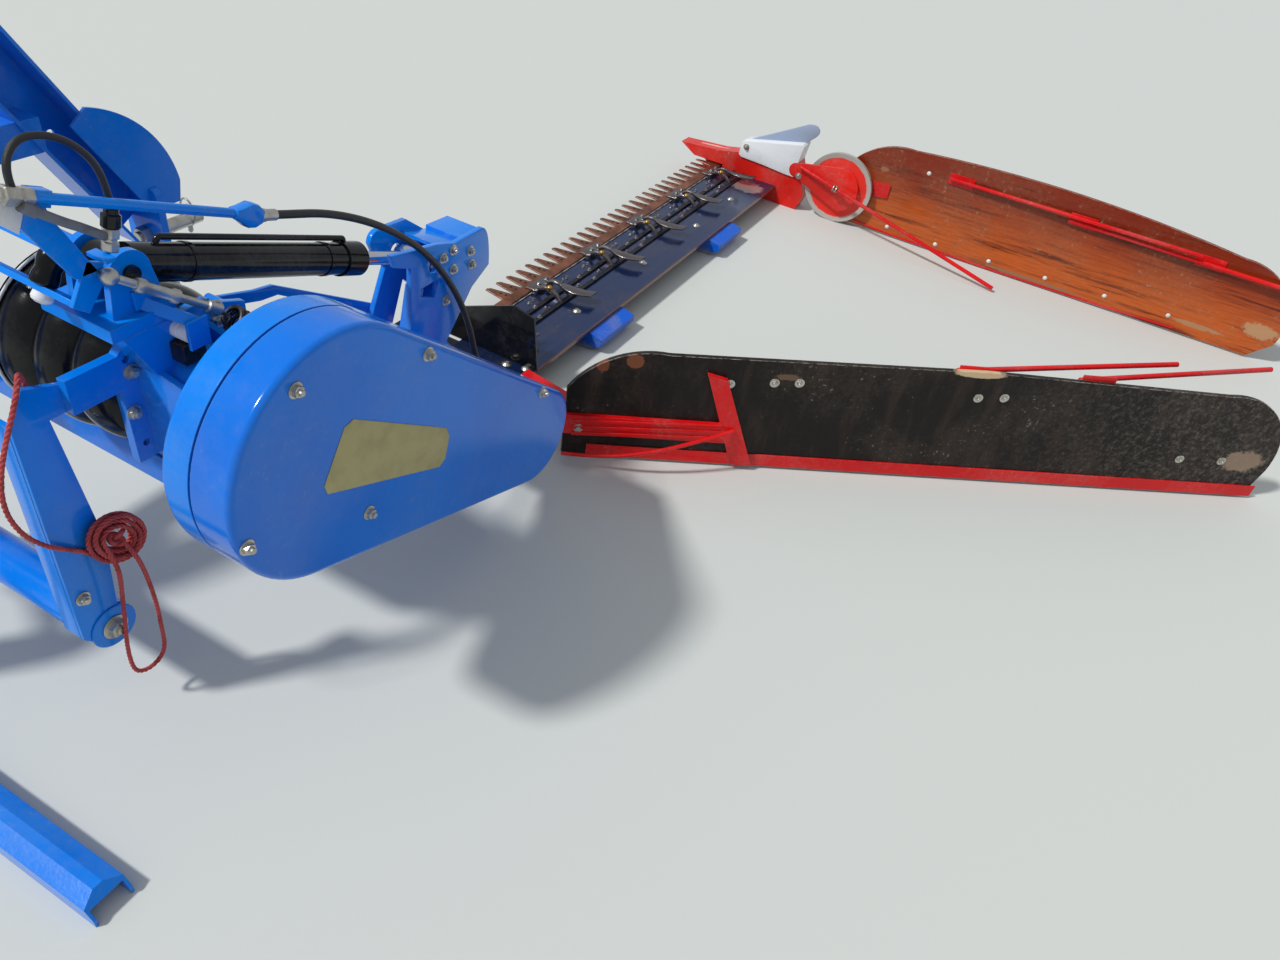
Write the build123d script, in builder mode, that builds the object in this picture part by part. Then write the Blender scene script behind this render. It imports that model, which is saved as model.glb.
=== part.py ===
"""Rear-mounted double-knife sickle bar mower, standing parked on its bar and its foot.

X points forward, Y to the left, Z up. The origin is on the drive shaft's axis at its front end.
All sizes are in millimetres.
"""

from build123d import *
from math import atan2, cos, degrees, hypot, radians, sin, sqrt
import os

os.makedirs("parts", exist_ok=True)

# Heights and clearances
SHAFT_HEIGHT = 570
GROUND = -SHAFT_HEIGHT
RUN = 0.05
REST_GAP = 0.3

# Three-point hitch, category 2
HITCH_X = 330
PIN_Z = -90
MAST = 610
PIN_SPAN = 825
PIN_D = 28.4
PIN_FREE = 92
PIN_TAIL_D = 24
LINCH_HOLE_D = 12
LINCH_FROM_END = 26
COLLAR_D = 52
TOP_HOLE_D = 25.8
YOKE_GAP = 54
YOKE_T = 12
TOP_Z = PIN_Z + MAST

# Legs of the head frame: open channels
LEG_W = 95
LEG_DEPTH = 70
LEG_T = 6
LEG_TOP_Y = 58
LEG_TOP_DROP = 62
LEG_FOOT_Y = 372
LEG_FOOT_Z = -60
LEG_HOLE_D = 16
LEG_BACK = HITCH_X - 30
LEG_FRONT = LEG_BACK + LEG_DEPTH
CHEEK_T = 15
CHEEK_W = 100
CHEEK_TOP = 20
BEAM_S = 80
BEAM_T = 6
BEAM_Z = -200
LOWER_BRACE_W = 60
CROSS_H = 60
CROSS_Z = 165

# Bearing housing on the shaft's axis
FLANGE_X = -200
FLANGE_T = 16
FLANGE_W = 196
FLANGE_LOW = -110
FLANGE_HIGH = 100
FLANGE_CUT = 28
FLANGE_BOLT_Y = 80
FLANGE_BOLT_Z = (-80, 68)
BOLT_D = 12
HOUSING_R = 66
HOUSING_BACK = -345
RIB_T = 10
JOURNAL_R = 62
JOURNAL_BACK = -400
EAR_OUT_Y = 172
EAR_H = 56
SEAT_POST_L = 46

# Drive shaft with its six splines, and the bellows round it
SHAFT_D = 34.9
SHAFT_ROOT_D = 29.7
SPLINE_W = 8.6
SPLINE_L = 78
SPLINES = 6
LOCK_GROOVE_X = -38
LOCK_GROOVE_D = 29.4
LOCK_GROOVE_W = 7
JOURNAL_D = 45
BELLOWS_T = 4
BELLOWS_BACK = FLANGE_X
BELLOWS_FRONT = 12
BELLOWS_R0 = 118
BELLOWS_R1 = 140
BELLOWS_WAVE = 9
BELLOWS_FOLDS = 3

# Belt drive arm: case, seal and cover, one outline of two round ends
BIG_R = 198
SMALL_R = 104
SMALL_Y = -551
SMALL_Z = -306
COVER_BACK = -530
SEAM_X = -460
SEAM_W = 4
CASE_FRONT = -408
COVER_EDGE_R = 10
SEAL_INSET = 4
HUB_R = 92
HUB_FRONT = -352
ARM_T = 46
ARM_GAP = 6
TUBE_R = 46
TUBE_FRONT = -118

# Lift cylinder in its own plane across the machine
CYL_X = -200
CYL_Y0 = 60
CYL_Z0 = 205
CYL_Y1 = -560
CYL_Z1 = -20
BARREL_R = 28
BARREL_BORE_R = 23
GLAND_FROM_EYE = 166
GLAND_L = 48
ROD_R = 13
EYE_R = 26
ROD_EYE_R = 22
EYE_W = 44
LIFT_PIN_D = 24
CLEVIS_GAP = 82
CLEVIS_T = 12
LUG_GAP = 62
LUG_T = 12
LUG_R = 32
SEAT_LOW = 130
SEAT_T = 20
SEAT_IN_Y = 16
BRACE_Y = 120
BRACE_H = 35
BRACE_T = 12
ROD_INSIDE = 330

# Left strut, its tube and the parking stand
STRUT_X = FLANGE_X
STRUT_T = 10
STRUT_W = 70
STRUT_TOP_Z = 50
STRUT_Y = 175
STRUT_LOW_Z = -392
STRUT_LOW_Y = 205
SIDE_TUBE_R = 38
SIDE_TUBE_T = 5
STAND_X = 215
STAND_Y = 476
STAND_S = 50
STAND_T = 4
SOCKET_T = 5
SOCKET_LOW = -300
SOCKET_HIGH = -150
STAND_TOP = -110
FOOT_W = 64
FOOT_H = 46
FOOT_BACK = -486
FOOT_FRONT = 265
FOOT_T = 5

# Cutter bar
BAR_BACK = -232
BAR_FRONT = 8
BAR_T = 9
BAR_TOP = GROUND + 65
BAR_IN = -850
TOOTH_PITCH = 50.8
TEETH = 29
TOOTH_BASE_X = 42
TOOTH_TIP_X = 112
TOOTH_BASE_W = 38
TOOTH_TIP_W = 9
TOOTH_FIRST_Y = -1267
KNIFE_T = 4
KNIFE_BACK_X = 10
KNIFE_STROKE = 22
KNIFE_IN_Y = -1160
HOLDER_PITCH = 6 * TOOTH_PITCH
HOLDER_FIRST_Y = -1081
HOLDERS = 6
RAIL_X = (-92, -52)
RAIL_W = 13
RAIL_T = 7

# Shoes, wheel and swath boards
SKID_Y = (-1375, -2180)
SKID_W = 190
SKID_BACK = -275
INNER_SHOE_W = 120
DIVIDER_Y = -1010
SHOE_Y = -2730
SHOE_W = 64
SHOE_POCKET = 42
BAR_OUT = SHOE_Y + SHOE_W / 2
WHEEL_R = 130
WHEEL_W = 24
WHEEL_X = -472
WHEEL_Y = -2716
AXLE_D = 16
BOARD_T = 12
OUTER_BOARD_Y = -2752
OUTER_BOARD_FRONT = -470
OUTER_BOARD_L = 1590
OUTER_BOARD_H = 345
INNER_BOARD_X = -431
INNER_BOARD_Y = -819
INNER_BOARD_TURN = 32.6
INNER_BOARD_L = 1885
INNER_BOARD_H = 325
STRIP_T = 4
STRIP_H = 34
ROD_D = 14

pieces = {}

# Head frame: two channel legs, yoke plates, cheeks, lower beam and cross bar
leg_dy = LEG_FOOT_Y - LEG_TOP_Y
leg_top_z = TOP_Z - LEG_TOP_DROP
leg_dz = LEG_FOOT_Z - leg_top_z
leg_len = hypot(leg_dy, leg_dz)
CHEEK_OUT = PIN_SPAN / 2 - 22
CHEEK_IN = CHEEK_OUT - CHEEK_T
yoke_out = YOKE_GAP / 2 + YOKE_T
frame_mid = (LEG_BACK + LEG_FRONT) / 2
with BuildPart() as head_frame:
    for side in (1, -1):
        start = (LEG_FRONT, side * LEG_TOP_Y, leg_top_z)
        run = (0, side * leg_dy, leg_dz)
        with BuildSketch(Plane(origin=start, x_dir=(-1, 0, 0), z_dir=run)):
            with Locations((LEG_T / 2, 0)):
                Rectangle(LEG_T, LEG_W)
            with Locations((LEG_DEPTH / 2, (LEG_W - LEG_T) / 2), (LEG_DEPTH / 2, -(LEG_W - LEG_T) / 2)):
                Rectangle(LEG_DEPTH, LEG_T)
        extrude(amount=leg_len)
    # The legs stop at the yoke and at the cheeks
    with Locations((frame_mid, 0, TOP_Z)):
        Box(2 * LEG_DEPTH, 2 * yoke_out, 2 * LEG_W, mode=Mode.SUBTRACT)
    for side in (1, -1):
        with Locations((frame_mid, side * (CHEEK_IN + LEG_W), LEG_FOOT_Z)):
            Box(2 * LEG_DEPTH, 2 * LEG_W, 4 * LEG_W, mode=Mode.SUBTRACT)
    # Holes in the channel webs
    for share in (0.22, 0.3, 0.62):
        for side in (1, -1):
            hole_y = side * (LEG_TOP_Y + share * leg_dy)
            with BuildSketch(Plane.YZ.offset(LEG_FRONT - 2 * LEG_T)):
                with Locations((hole_y, leg_top_z + share * leg_dz)):
                    Circle(LEG_HOLE_D / 2)
            extrude(amount=3 * LEG_T, mode=Mode.SUBTRACT)
    # Yoke plates for the top link
    for y_face in (yoke_out, -YOKE_GAP / 2):
        with BuildSketch(Plane.XZ.offset(-y_face)):
            with BuildLine():
                Polyline((LEG_BACK - 8, TOP_Z - 120), (LEG_FRONT, TOP_Z - 120), (LEG_FRONT, TOP_Z))
                ThreePointArc((LEG_FRONT, TOP_Z), (frame_mid, TOP_Z + 34), (LEG_BACK, TOP_Z))
                Polyline((LEG_BACK, TOP_Z), (LEG_BACK - 8, TOP_Z - 120))
            make_face()
            with Locations((frame_mid, TOP_Z)):
                Circle(TOP_HOLE_D / 2, mode=Mode.SUBTRACT)
        extrude(amount=YOKE_T)
    # Web between the legs under the yoke
    with BuildSketch(Plane.YZ.offset(LEG_FRONT - LEG_T)):
        with BuildLine():
            Polyline((yoke_out, TOP_Z - 40), (130, TOP_Z - 150), (-130, TOP_Z - 150), (-yoke_out, TOP_Z - 40), close=True)
        make_face()
    extrude(amount=LEG_T)
    # Cheeks that carry the lower pins
    for y_face in (CHEEK_OUT, -CHEEK_IN):
        with BuildSketch(Plane.XZ.offset(-y_face)):
            with Locations((frame_mid - 5, (BEAM_Z - BEAM_S / 2 + CHEEK_TOP) / 2)):
                RectangleRounded(CHEEK_W, CHEEK_TOP - BEAM_Z + BEAM_S / 2, 18)
            with Locations((HITCH_X, PIN_Z)):
                Circle(PIN_TAIL_D / 2 + RUN, mode=Mode.SUBTRACT)
        extrude(amount=CHEEK_T)
    # Lower beam, hollow, and the cross bar between the legs
    with BuildSketch(Plane.XZ.offset(-CHEEK_IN)):
        with Locations((frame_mid, BEAM_Z)):
            RectangleRounded(BEAM_S, BEAM_S, 8)
            RectangleRounded(BEAM_S - 2 * BEAM_T, BEAM_S - 2 * BEAM_T, 3, mode=Mode.SUBTRACT)
    extrude(amount=2 * CHEEK_IN)
    with Locations((frame_mid, 0, CROSS_Z)):
        Box(LEG_DEPTH - 2 * LEG_T, 2 * 205, CROSS_H)
pieces["head_frame"] = head_frame

# Rounded gusset sheets between the legs and the pins
with BuildPart() as head_gussets:
    for side in (1, -1):
        with BuildSketch(Plane.YZ.offset(LEG_BACK - LEG_T)):
            with BuildLine():
                Line((side * 250, 170), (side * 284, 196))
                ThreePointArc((side * 284, 196), (side * 388, 138), (side * 448, 16))
                Polyline((side * 448, 16), (side * 440, -26), (side * 372, -26), (side * 250, 170))
            make_face()
        extrude(amount=LEG_T)
        with Locations((LEG_BACK, side * (CHEEK_IN + CHEEK_T / 2), CHEEK_TOP - CHEEK_W / 2)):
            Box(2 * CHEEK_W, CHEEK_T, CHEEK_W, mode=Mode.SUBTRACT)
pieces["head_gussets"] = head_gussets

# Lower hitch pins with collar, threaded tail and nut
with BuildPart() as hitch_pins:
    for side in (1, -1):
        face = side * PIN_SPAN / 2
        with BuildSketch(Plane(origin=(HITCH_X, face, PIN_Z), x_dir=(1, 0, 0), z_dir=(0, side, 0))):
            Circle(PIN_D / 2)
        extrude(amount=PIN_FREE)
        with BuildSketch(Plane(origin=(HITCH_X, face, PIN_Z), x_dir=(1, 0, 0), z_dir=(0, -side, 0))):
            Circle(COLLAR_D / 2)
        extrude(amount=PIN_SPAN / 2 - CHEEK_OUT)
        with BuildSketch(Plane(origin=(HITCH_X, face, PIN_Z), x_dir=(1, 0, 0), z_dir=(0, -side, 0))):
            Circle(PIN_TAIL_D / 2)
        extrude(amount=PIN_SPAN / 2 - CHEEK_IN + 24)
        with BuildSketch(Plane(origin=(HITCH_X, side * CHEEK_IN, PIN_Z), x_dir=(1, 0, 0), z_dir=(0, -side, 0))):
            RegularPolygon(20, 6)
        extrude(amount=18)
        with Locations((HITCH_X, face + side * (PIN_FREE - LINCH_FROM_END), PIN_Z)):
            Cylinder(LINCH_HOLE_D / 2, 2 * PIN_D, mode=Mode.SUBTRACT)
pieces["hitch_pins"] = hitch_pins

# Bearing housing: flange, ribbed body and the journal that the arm turns on
bore_r = JOURNAL_D / 2 + RUN
with BuildPart() as bearing_housing:
    with BuildSketch(Plane.YZ.offset(FLANGE_X - FLANGE_T)):
        with Locations((0, (FLANGE_LOW + FLANGE_HIGH) / 2)):
            Rectangle(FLANGE_W, FLANGE_HIGH - FLANGE_LOW)
        chamfer([v for v in vertices() if v.Y > 0], FLANGE_CUT)
        for bolt_z in FLANGE_BOLT_Z:
            with Locations((FLANGE_BOLT_Y, bolt_z), (-FLANGE_BOLT_Y, bolt_z)):
                Circle(BOLT_D / 2, mode=Mode.SUBTRACT)
    extrude(amount=FLANGE_T)
    with BuildSketch(Plane.YZ.offset(HOUSING_BACK)):
        Circle(HOUSING_R)
    extrude(amount=FLANGE_X - FLANGE_T - HOUSING_BACK)
    with BuildSketch(Plane.YZ.offset(JOURNAL_BACK)):
        Circle(JOURNAL_R)
    extrude(amount=HOUSING_BACK - JOURNAL_BACK)
    # Side ribs along the body, as boxes open below
    for rib_y in (HOUSING_R - RIB_T, -HOUSING_R):
        with BuildSketch(Plane.XZ.offset(-rib_y - RIB_T)):
            with BuildLine():
                Polyline(
                    (FLANGE_X - FLANGE_T, FLANGE_LOW),
                    (FLANGE_X - FLANGE_T, HOUSING_R),
                    (HOUSING_BACK + 30, HOUSING_R - 22),
                    (HOUSING_BACK + 12, FLANGE_LOW + 60),
                    (HOUSING_BACK + 60, FLANGE_LOW),
                    close=True,
                )
            make_face()
        extrude(amount=RIB_T)
    # Foot of the housing, down to the brace under it
    with Locations(((FLANGE_X + HOUSING_BACK) / 2 + 26, 0, FLANGE_LOW + 5)):
        Box(92, 2 * HOUSING_R, 10)
    # Ear for the strut, level with the flange
    with BuildSketch(Plane.YZ.offset(FLANGE_X - FLANGE_T)):
        with Locations(((FLANGE_W / 2 - 10 + EAR_OUT_Y) / 2, STRUT_TOP_Z)):
            Rectangle(EAR_OUT_Y - FLANGE_W / 2 + 10, EAR_H)
    extrude(amount=FLANGE_T)
    # Seat above the bellows with the lugs for the lift cylinder's base pin
    seat_back = CYL_X - LUG_GAP / 2 - LUG_T - 18
    seat_front = CYL_X + LUG_GAP / 2 + LUG_T + 34
    seat_top = SEAT_LOW + SEAT_T
    with Locations(((seat_back + seat_front) / 2, (SEAT_IN_Y + BRACE_Y) / 2, SEAT_LOW + SEAT_T / 2)):
        Box(seat_front - seat_back, BRACE_Y - SEAT_IN_Y, SEAT_T)
    with BuildSketch(Plane.YZ.offset(FLANGE_X - FLANGE_T - SEAT_POST_L)):
        with BuildLine():
            Polyline((10, 40), (10, SEAT_LOW), (BRACE_Y - 14, SEAT_LOW), (60, 40), close=True)
        make_face()
    extrude(amount=SEAT_POST_L)
    for lug_x in (CYL_X - LUG_GAP / 2 - LUG_T, CYL_X + LUG_GAP / 2):
        with BuildSketch(Plane.YZ.offset(lug_x)):
            with BuildLine():
                Polyline((CYL_Y0 + LUG_R, CYL_Z0), (CYL_Y0 + LUG_R + 8, seat_top), (SEAT_IN_Y, seat_top))
                Line((SEAT_IN_Y, seat_top), (CYL_Y0 - LUG_R, CYL_Z0))
                ThreePointArc((CYL_Y0 - LUG_R, CYL_Z0), (CYL_Y0, CYL_Z0 + LUG_R), (CYL_Y0 + LUG_R, CYL_Z0))
            make_face()
            with Locations((CYL_Y0, CYL_Z0)):
                Circle(LIFT_PIN_D / 2 + RUN, mode=Mode.SUBTRACT)
        extrude(amount=LUG_T)
    with BuildSketch(Plane.YZ.offset(HOUSING_BACK)):
        Circle(bore_r)
    extrude(amount=FLANGE_X - HOUSING_BACK, mode=Mode.SUBTRACT)
pieces["bearing_housing"] = bearing_housing

# Lower brace: a welded box from under the housing to the lower beam
brace_front = frame_mid - BEAM_S / 2
brace_back = FLANGE_X - FLANGE_T - 84
with BuildPart() as lower_brace:
    with BuildSketch(Plane.XZ.offset(-LOWER_BRACE_W / 2)):
        with BuildLine():
            Polyline(
                (brace_back, FLANGE_LOW),
                (brace_back, FLANGE_LOW - 40),
                (brace_back + 60, BEAM_Z - 30),
                (brace_front, BEAM_Z - 30),
                (brace_front, BEAM_Z + 30),
                (FLANGE_X - FLANGE_T, BEAM_Z + 30),
                (FLANGE_X - FLANGE_T, FLANGE_LOW),
                close=True,
            )
        make_face()
    extrude(amount=LOWER_BRACE_W)
pieces["lower_brace"] = lower_brace

# Top brace: two flat bars from the cylinder's seat to the cross bar
with BuildPart() as top_brace:
    for bar_y, bar_back in ((BRACE_Y, seat_back), (SEAT_IN_Y + BRACE_T, CYL_X + LUG_GAP / 2 + LUG_T + 8)):
        with BuildSketch(Plane.XZ.offset(-bar_y)):
            with BuildLine():
                Polyline(
                    (bar_back, seat_top),
                    (bar_back, seat_top + BRACE_H - 10),
                    (bar_back + 10, seat_top + BRACE_H),
                    (frame_mid - LEG_DEPTH / 2 + LEG_T, seat_top + BRACE_H),
                    (frame_mid - LEG_DEPTH / 2 + LEG_T, seat_top),
                    close=True,
                )
            make_face()
        extrude(amount=BRACE_T)
pieces["top_brace"] = top_brace

# Rubber bellows round the drive shaft, open in front
bellows_step = (BELLOWS_FRONT - BELLOWS_BACK) / (2 * BELLOWS_FOLDS)
with BuildPart() as shaft_bellows:
    with BuildSketch(Plane.XZ):
        with BuildLine():
            outer = [(BELLOWS_BACK, BELLOWS_R0)]
            for fold in range(1, 2 * BELLOWS_FOLDS + 1):
                grow = (BELLOWS_R1 - BELLOWS_R0) * fold / (2 * BELLOWS_FOLDS)
                wave = -BELLOWS_WAVE if fold % 2 else 0
                outer.append((BELLOWS_BACK + fold * bellows_step, BELLOWS_R0 + grow + wave))
            wall = BELLOWS_WAVE + BELLOWS_T
            Polyline(*outer, (BELLOWS_FRONT, BELLOWS_R1 - wall), (BELLOWS_BACK, BELLOWS_R0 - wall), close=True)
        make_face()
    revolve(axis=Axis.X)
    with BuildSketch(Plane.YZ.offset(BELLOWS_BACK)):
        Circle(BELLOWS_R0)
        Circle(FLANGE_BOLT_Y - 20, mode=Mode.SUBTRACT)
    extrude(amount=BELLOWS_T)
pieces["shaft_bellows"] = shaft_bellows

# Drive shaft
with BuildPart() as drive_shaft:
    with BuildSketch(Plane.YZ.offset(-SPLINE_L)):
        Circle(SHAFT_ROOT_D / 2)
        with PolarLocations(0, SPLINES):
            with Locations((SHAFT_D / 4, 0)):
                Rectangle(SHAFT_D / 2, SPLINE_W)
    extrude(amount=SPLINE_L)
    with BuildSketch(Plane.YZ.offset(-SPLINE_L)):
        Circle(SHAFT_D / 2)
    extrude(amount=SPLINE_L, mode=Mode.INTERSECT)
    with BuildSketch(Plane.XZ):
        with Locations((LOCK_GROOVE_X, SHAFT_D / 2)):
            Rectangle(LOCK_GROOVE_W, SHAFT_D - LOCK_GROOVE_D)
    revolve(axis=Axis.X, mode=Mode.SUBTRACT)
    with BuildSketch(Plane.YZ.offset(HOUSING_BACK)):
        Circle(JOURNAL_D / 2)
    extrude(amount=-SPLINE_L - HOUSING_BACK)
pieces["drive_shaft"] = drive_shaft

# Belt case and cover: one outline with a big and a small round end
guard_layers = {
    "belt_cover": (COVER_BACK, SEAM_X - SEAM_W / 2, 0),
    "cover_seal": (SEAM_X - SEAM_W / 2, SEAM_X + SEAM_W / 2, SEAL_INSET),
    "belt_case": (SEAM_X + SEAM_W / 2, CASE_FRONT, 0),
}
for layer, (back, front, inset) in guard_layers.items():
    with BuildPart() as guard_layer:
        with BuildSketch(Plane.YZ.offset(back)):
            Circle(BIG_R - inset)
            with Locations((SMALL_Y, SMALL_Z)):
                Circle(SMALL_R - inset)
            make_hull()
        extrude(amount=front - back)
        if layer == "belt_cover":
            fillet(guard_layer.faces().sort_by(Axis.X)[0].edges(), COVER_EDGE_R)
        if layer == "belt_case":
            fillet(guard_layer.faces().sort_by(Axis.X)[-1].edges(), COVER_EDGE_R)
    pieces[layer] = guard_layer

# Arm behind the case: hub on the journal, tapered beam and the small end's tube
with BuildPart() as lift_arm:
    with BuildSketch(Plane.YZ.offset(CASE_FRONT)):
        Circle(HUB_R)
        with Locations((SMALL_Y, SMALL_Z)):
            Circle(TUBE_R + 16)
        make_hull()
    extrude(amount=ARM_T)
    with BuildSketch(Plane.YZ.offset(CASE_FRONT)):
        Circle(HUB_R)
    extrude(amount=HUB_FRONT - CASE_FRONT)
    with BuildSketch(Plane.YZ.offset(CASE_FRONT)):
        with Locations((SMALL_Y, SMALL_Z)):
            Circle(TUBE_R)
    extrude(amount=TUBE_FRONT - CASE_FRONT)
    with BuildSketch(Plane.YZ.offset(JOURNAL_BACK - ARM_GAP)):
        Circle(JOURNAL_R + RUN)
    extrude(amount=HUB_FRONT - JOURNAL_BACK + ARM_GAP + 1, mode=Mode.SUBTRACT)
pieces["lift_arm"] = lift_arm

# Lift cylinder: every section stands on a plane across its axis
cyl_run = Vector(0, CYL_Y1 - CYL_Y0, CYL_Z1 - CYL_Z0)
cyl_len = cyl_run.length
cyl_dir = cyl_run.normalized()
cyl_base = Vector(CYL_X, CYL_Y0, CYL_Z0)
cyl_eye = Vector(CYL_X, CYL_Y1, CYL_Z1)
gland_end = cyl_len - GLAND_FROM_EYE
gland_start = gland_end - GLAND_L
with BuildPart() as cylinder_barrel:
    with BuildSketch(Plane(origin=cyl_base + cyl_dir * (EYE_R - 2), x_dir=(1, 0, 0), z_dir=cyl_dir)):
        Circle(BARREL_R)
    extrude(amount=gland_start - EYE_R + 2)
    with BuildSketch(Plane(origin=cyl_base + cyl_dir * gland_start, x_dir=(1, 0, 0), z_dir=cyl_dir)):
        Circle(BARREL_R + 3)
    extrude(amount=GLAND_L)
    with BuildSketch(Plane(origin=cyl_base + cyl_dir * (EYE_R + 24), x_dir=(1, 0, 0), z_dir=cyl_dir)):
        Circle(BARREL_BORE_R)
    extrude(amount=gland_start - EYE_R - 24, mode=Mode.SUBTRACT)
    with BuildSketch(Plane(origin=cyl_base + cyl_dir * gland_start, x_dir=(1, 0, 0), z_dir=cyl_dir)):
        Circle(ROD_R + RUN)
    extrude(amount=GLAND_L, mode=Mode.SUBTRACT)
    with BuildSketch(Plane.YZ.offset(CYL_X - EYE_W / 2)):
        with Locations((CYL_Y0, CYL_Z0)):
            Circle(EYE_R)
    extrude(amount=EYE_W)
    with BuildSketch(Plane.YZ.offset(CYL_X - LUG_GAP / 2 - LUG_T - 6)):
        with Locations((CYL_Y0, CYL_Z0)):
            Circle(LIFT_PIN_D / 2)
    extrude(amount=LUG_GAP + 2 * LUG_T + 12)
pieces["cylinder_barrel"] = cylinder_barrel

with BuildPart() as cylinder_rod:
    with BuildSketch(Plane(origin=cyl_base + cyl_dir * ROD_INSIDE, x_dir=(1, 0, 0), z_dir=cyl_dir)):
        Circle(ROD_R)
    extrude(amount=cyl_len - ROD_INSIDE)
    with BuildSketch(Plane.YZ.offset(CYL_X - EYE_W / 2)):
        with Locations((CYL_Y1, CYL_Z1)):
            Circle(ROD_EYE_R)
    extrude(amount=EYE_W)
    with BuildSketch(Plane.YZ.offset(CYL_X - CLEVIS_GAP / 2 + 3)):
        with Locations((CYL_Y1, CYL_Z1)):
            Circle(LIFT_PIN_D / 2)
    extrude(amount=CLEVIS_GAP - 6)
pieces["cylinder_rod"] = cylinder_rod

# Left strut: a bent flat from the housing's ear down to the long tube
with BuildPart() as side_strut:
    with BuildSketch(Plane.YZ.offset(STRUT_X)):
        with BuildLine():
            Polyline(
                (STRUT_LOW_Y + 42, STRUT_LOW_Z),
                (STRUT_Y + 74, 0),
                (STRUT_Y + 44, STRUT_TOP_Z + 32),
                (STRUT_Y - 44, STRUT_TOP_Z + 14),
                (STRUT_Y - 50, STRUT_TOP_Z - 22),
                (STRUT_Y + 14, STRUT_TOP_Z - 30),
                (STRUT_LOW_Y - 34, STRUT_LOW_Z + 180),
                (STRUT_LOW_Y - 30, STRUT_LOW_Z),
                (STRUT_LOW_Y - 20, STRUT_LOW_Z - 44),
                (STRUT_LOW_Y + 26, STRUT_LOW_Z - 44),
                close=True,
            )
        make_face()
    extrude(amount=STRUT_T)
pieces["side_strut"] = side_strut

with BuildPart() as side_tube:
    with BuildSketch(Plane.YZ.offset(STRUT_X + STRUT_T)):
        with Locations((STRUT_LOW_Y, STRUT_LOW_Z)):
            Circle(SIDE_TUBE_R)
            Circle(SIDE_TUBE_R - SIDE_TUBE_T, mode=Mode.SUBTRACT)
    extrude(amount=LEG_FRONT - STRUT_X - STRUT_T)
    # Plate from the lower beam down to the tube
    with BuildSketch(Plane.YZ.offset(frame_mid - BEAM_S / 2 - STRUT_T)):
        with BuildLine():
            Polyline(
                (STRUT_LOW_Y + 48, BEAM_Z + 36),
                (STRUT_LOW_Y + 48, STRUT_LOW_Z - 20),
                (STRUT_LOW_Y + 22, STRUT_LOW_Z - 46),
                (STRUT_LOW_Y - 22, STRUT_LOW_Z - 46),
                (STRUT_LOW_Y - 48, STRUT_LOW_Z - 20),
                (STRUT_LOW_Y - 48, BEAM_Z + 36),
                close=True,
            )
        make_face()
        with Locations((STRUT_LOW_Y, STRUT_LOW_Z)):
            Circle(SIDE_TUBE_R - 1, mode=Mode.SUBTRACT)
    extrude(amount=STRUT_T)
pieces["side_tube"] = side_tube

# Parking stand: square leg in a socket on the left cheek, and a long channel foot
socket_s = STAND_S + 2 * REST_GAP
with BuildPart() as stand_socket:
    with Locations((STAND_X, STAND_Y, (SOCKET_LOW + SOCKET_HIGH) / 2)):
        Box(socket_s + 2 * SOCKET_T, socket_s + 2 * SOCKET_T, SOCKET_HIGH - SOCKET_LOW)
        Box(socket_s, socket_s, SOCKET_HIGH - SOCKET_LOW, mode=Mode.SUBTRACT)
    # Bracket back to the cheek
    bracket_back = STAND_X - 20
    with BuildSketch(Plane.XY.offset(BEAM_Z - 14)):
        with BuildLine():
            Polyline(
                (STAND_X - 20, STAND_Y - socket_s / 2 - SOCKET_T),
                (STAND_X + 30, STAND_Y - socket_s / 2 - SOCKET_T),
                (frame_mid + 30, CHEEK_OUT),
                (LEG_BACK - 12, CHEEK_OUT),
                close=True,
            )
        make_face()
    extrude(amount=28)
pieces["stand_socket"] = stand_socket

with BuildPart() as stand_leg:
    with Locations((STAND_X, STAND_Y, (GROUND + FOOT_H + STAND_TOP) / 2)):
        Box(STAND_S, STAND_S, STAND_TOP - GROUND - FOOT_H)
        Box(STAND_S - 2 * STAND_T, STAND_S - 2 * STAND_T, STAND_TOP - GROUND - FOOT_H, mode=Mode.SUBTRACT)
pieces["stand_leg"] = stand_leg

with BuildPart() as stand_foot:
    with BuildSketch(Plane.YZ.offset(FOOT_BACK)):
        with BuildLine():
            Polyline(
                (STAND_Y - FOOT_W / 2, GROUND),
                (STAND_Y - FOOT_W / 2, GROUND + FOOT_H - 12),
                (STAND_Y - 8, GROUND + FOOT_H),
                (STAND_Y + 8, GROUND + FOOT_H),
                (STAND_Y + FOOT_W / 2, GROUND + FOOT_H - 12),
                (STAND_Y + FOOT_W / 2, GROUND),
                (STAND_Y + FOOT_W / 2 - FOOT_T, GROUND),
                (STAND_Y + FOOT_W / 2 - FOOT_T, GROUND + FOOT_H - 12 - FOOT_T),
                (STAND_Y - FOOT_W / 2 + FOOT_T, GROUND + FOOT_H - 12 - FOOT_T),
                (STAND_Y - FOOT_W / 2 + FOOT_T, GROUND),
                close=True,
            )
        make_face()
    extrude(amount=FOOT_FRONT - FOOT_BACK)
    # Square seat under the leg
    with Locations((STAND_X, STAND_Y, GROUND + FOOT_H - 8)):
        Box(STAND_S, STAND_S, 16)
    # The rear end is cut back on the top
    with BuildSketch(Plane.XZ.offset(-STAND_Y - FOOT_W)):
        with BuildLine():
            Polyline(
                (FOOT_BACK - 1, GROUND + 14),
                (FOOT_BACK + 24, GROUND + FOOT_H + 1),
                (FOOT_BACK - 1, GROUND + FOOT_H + 1),
                close=True,
            )
        make_face()
    extrude(amount=2 * FOOT_W, mode=Mode.SUBTRACT)
pieces["stand_foot"] = stand_foot

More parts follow.
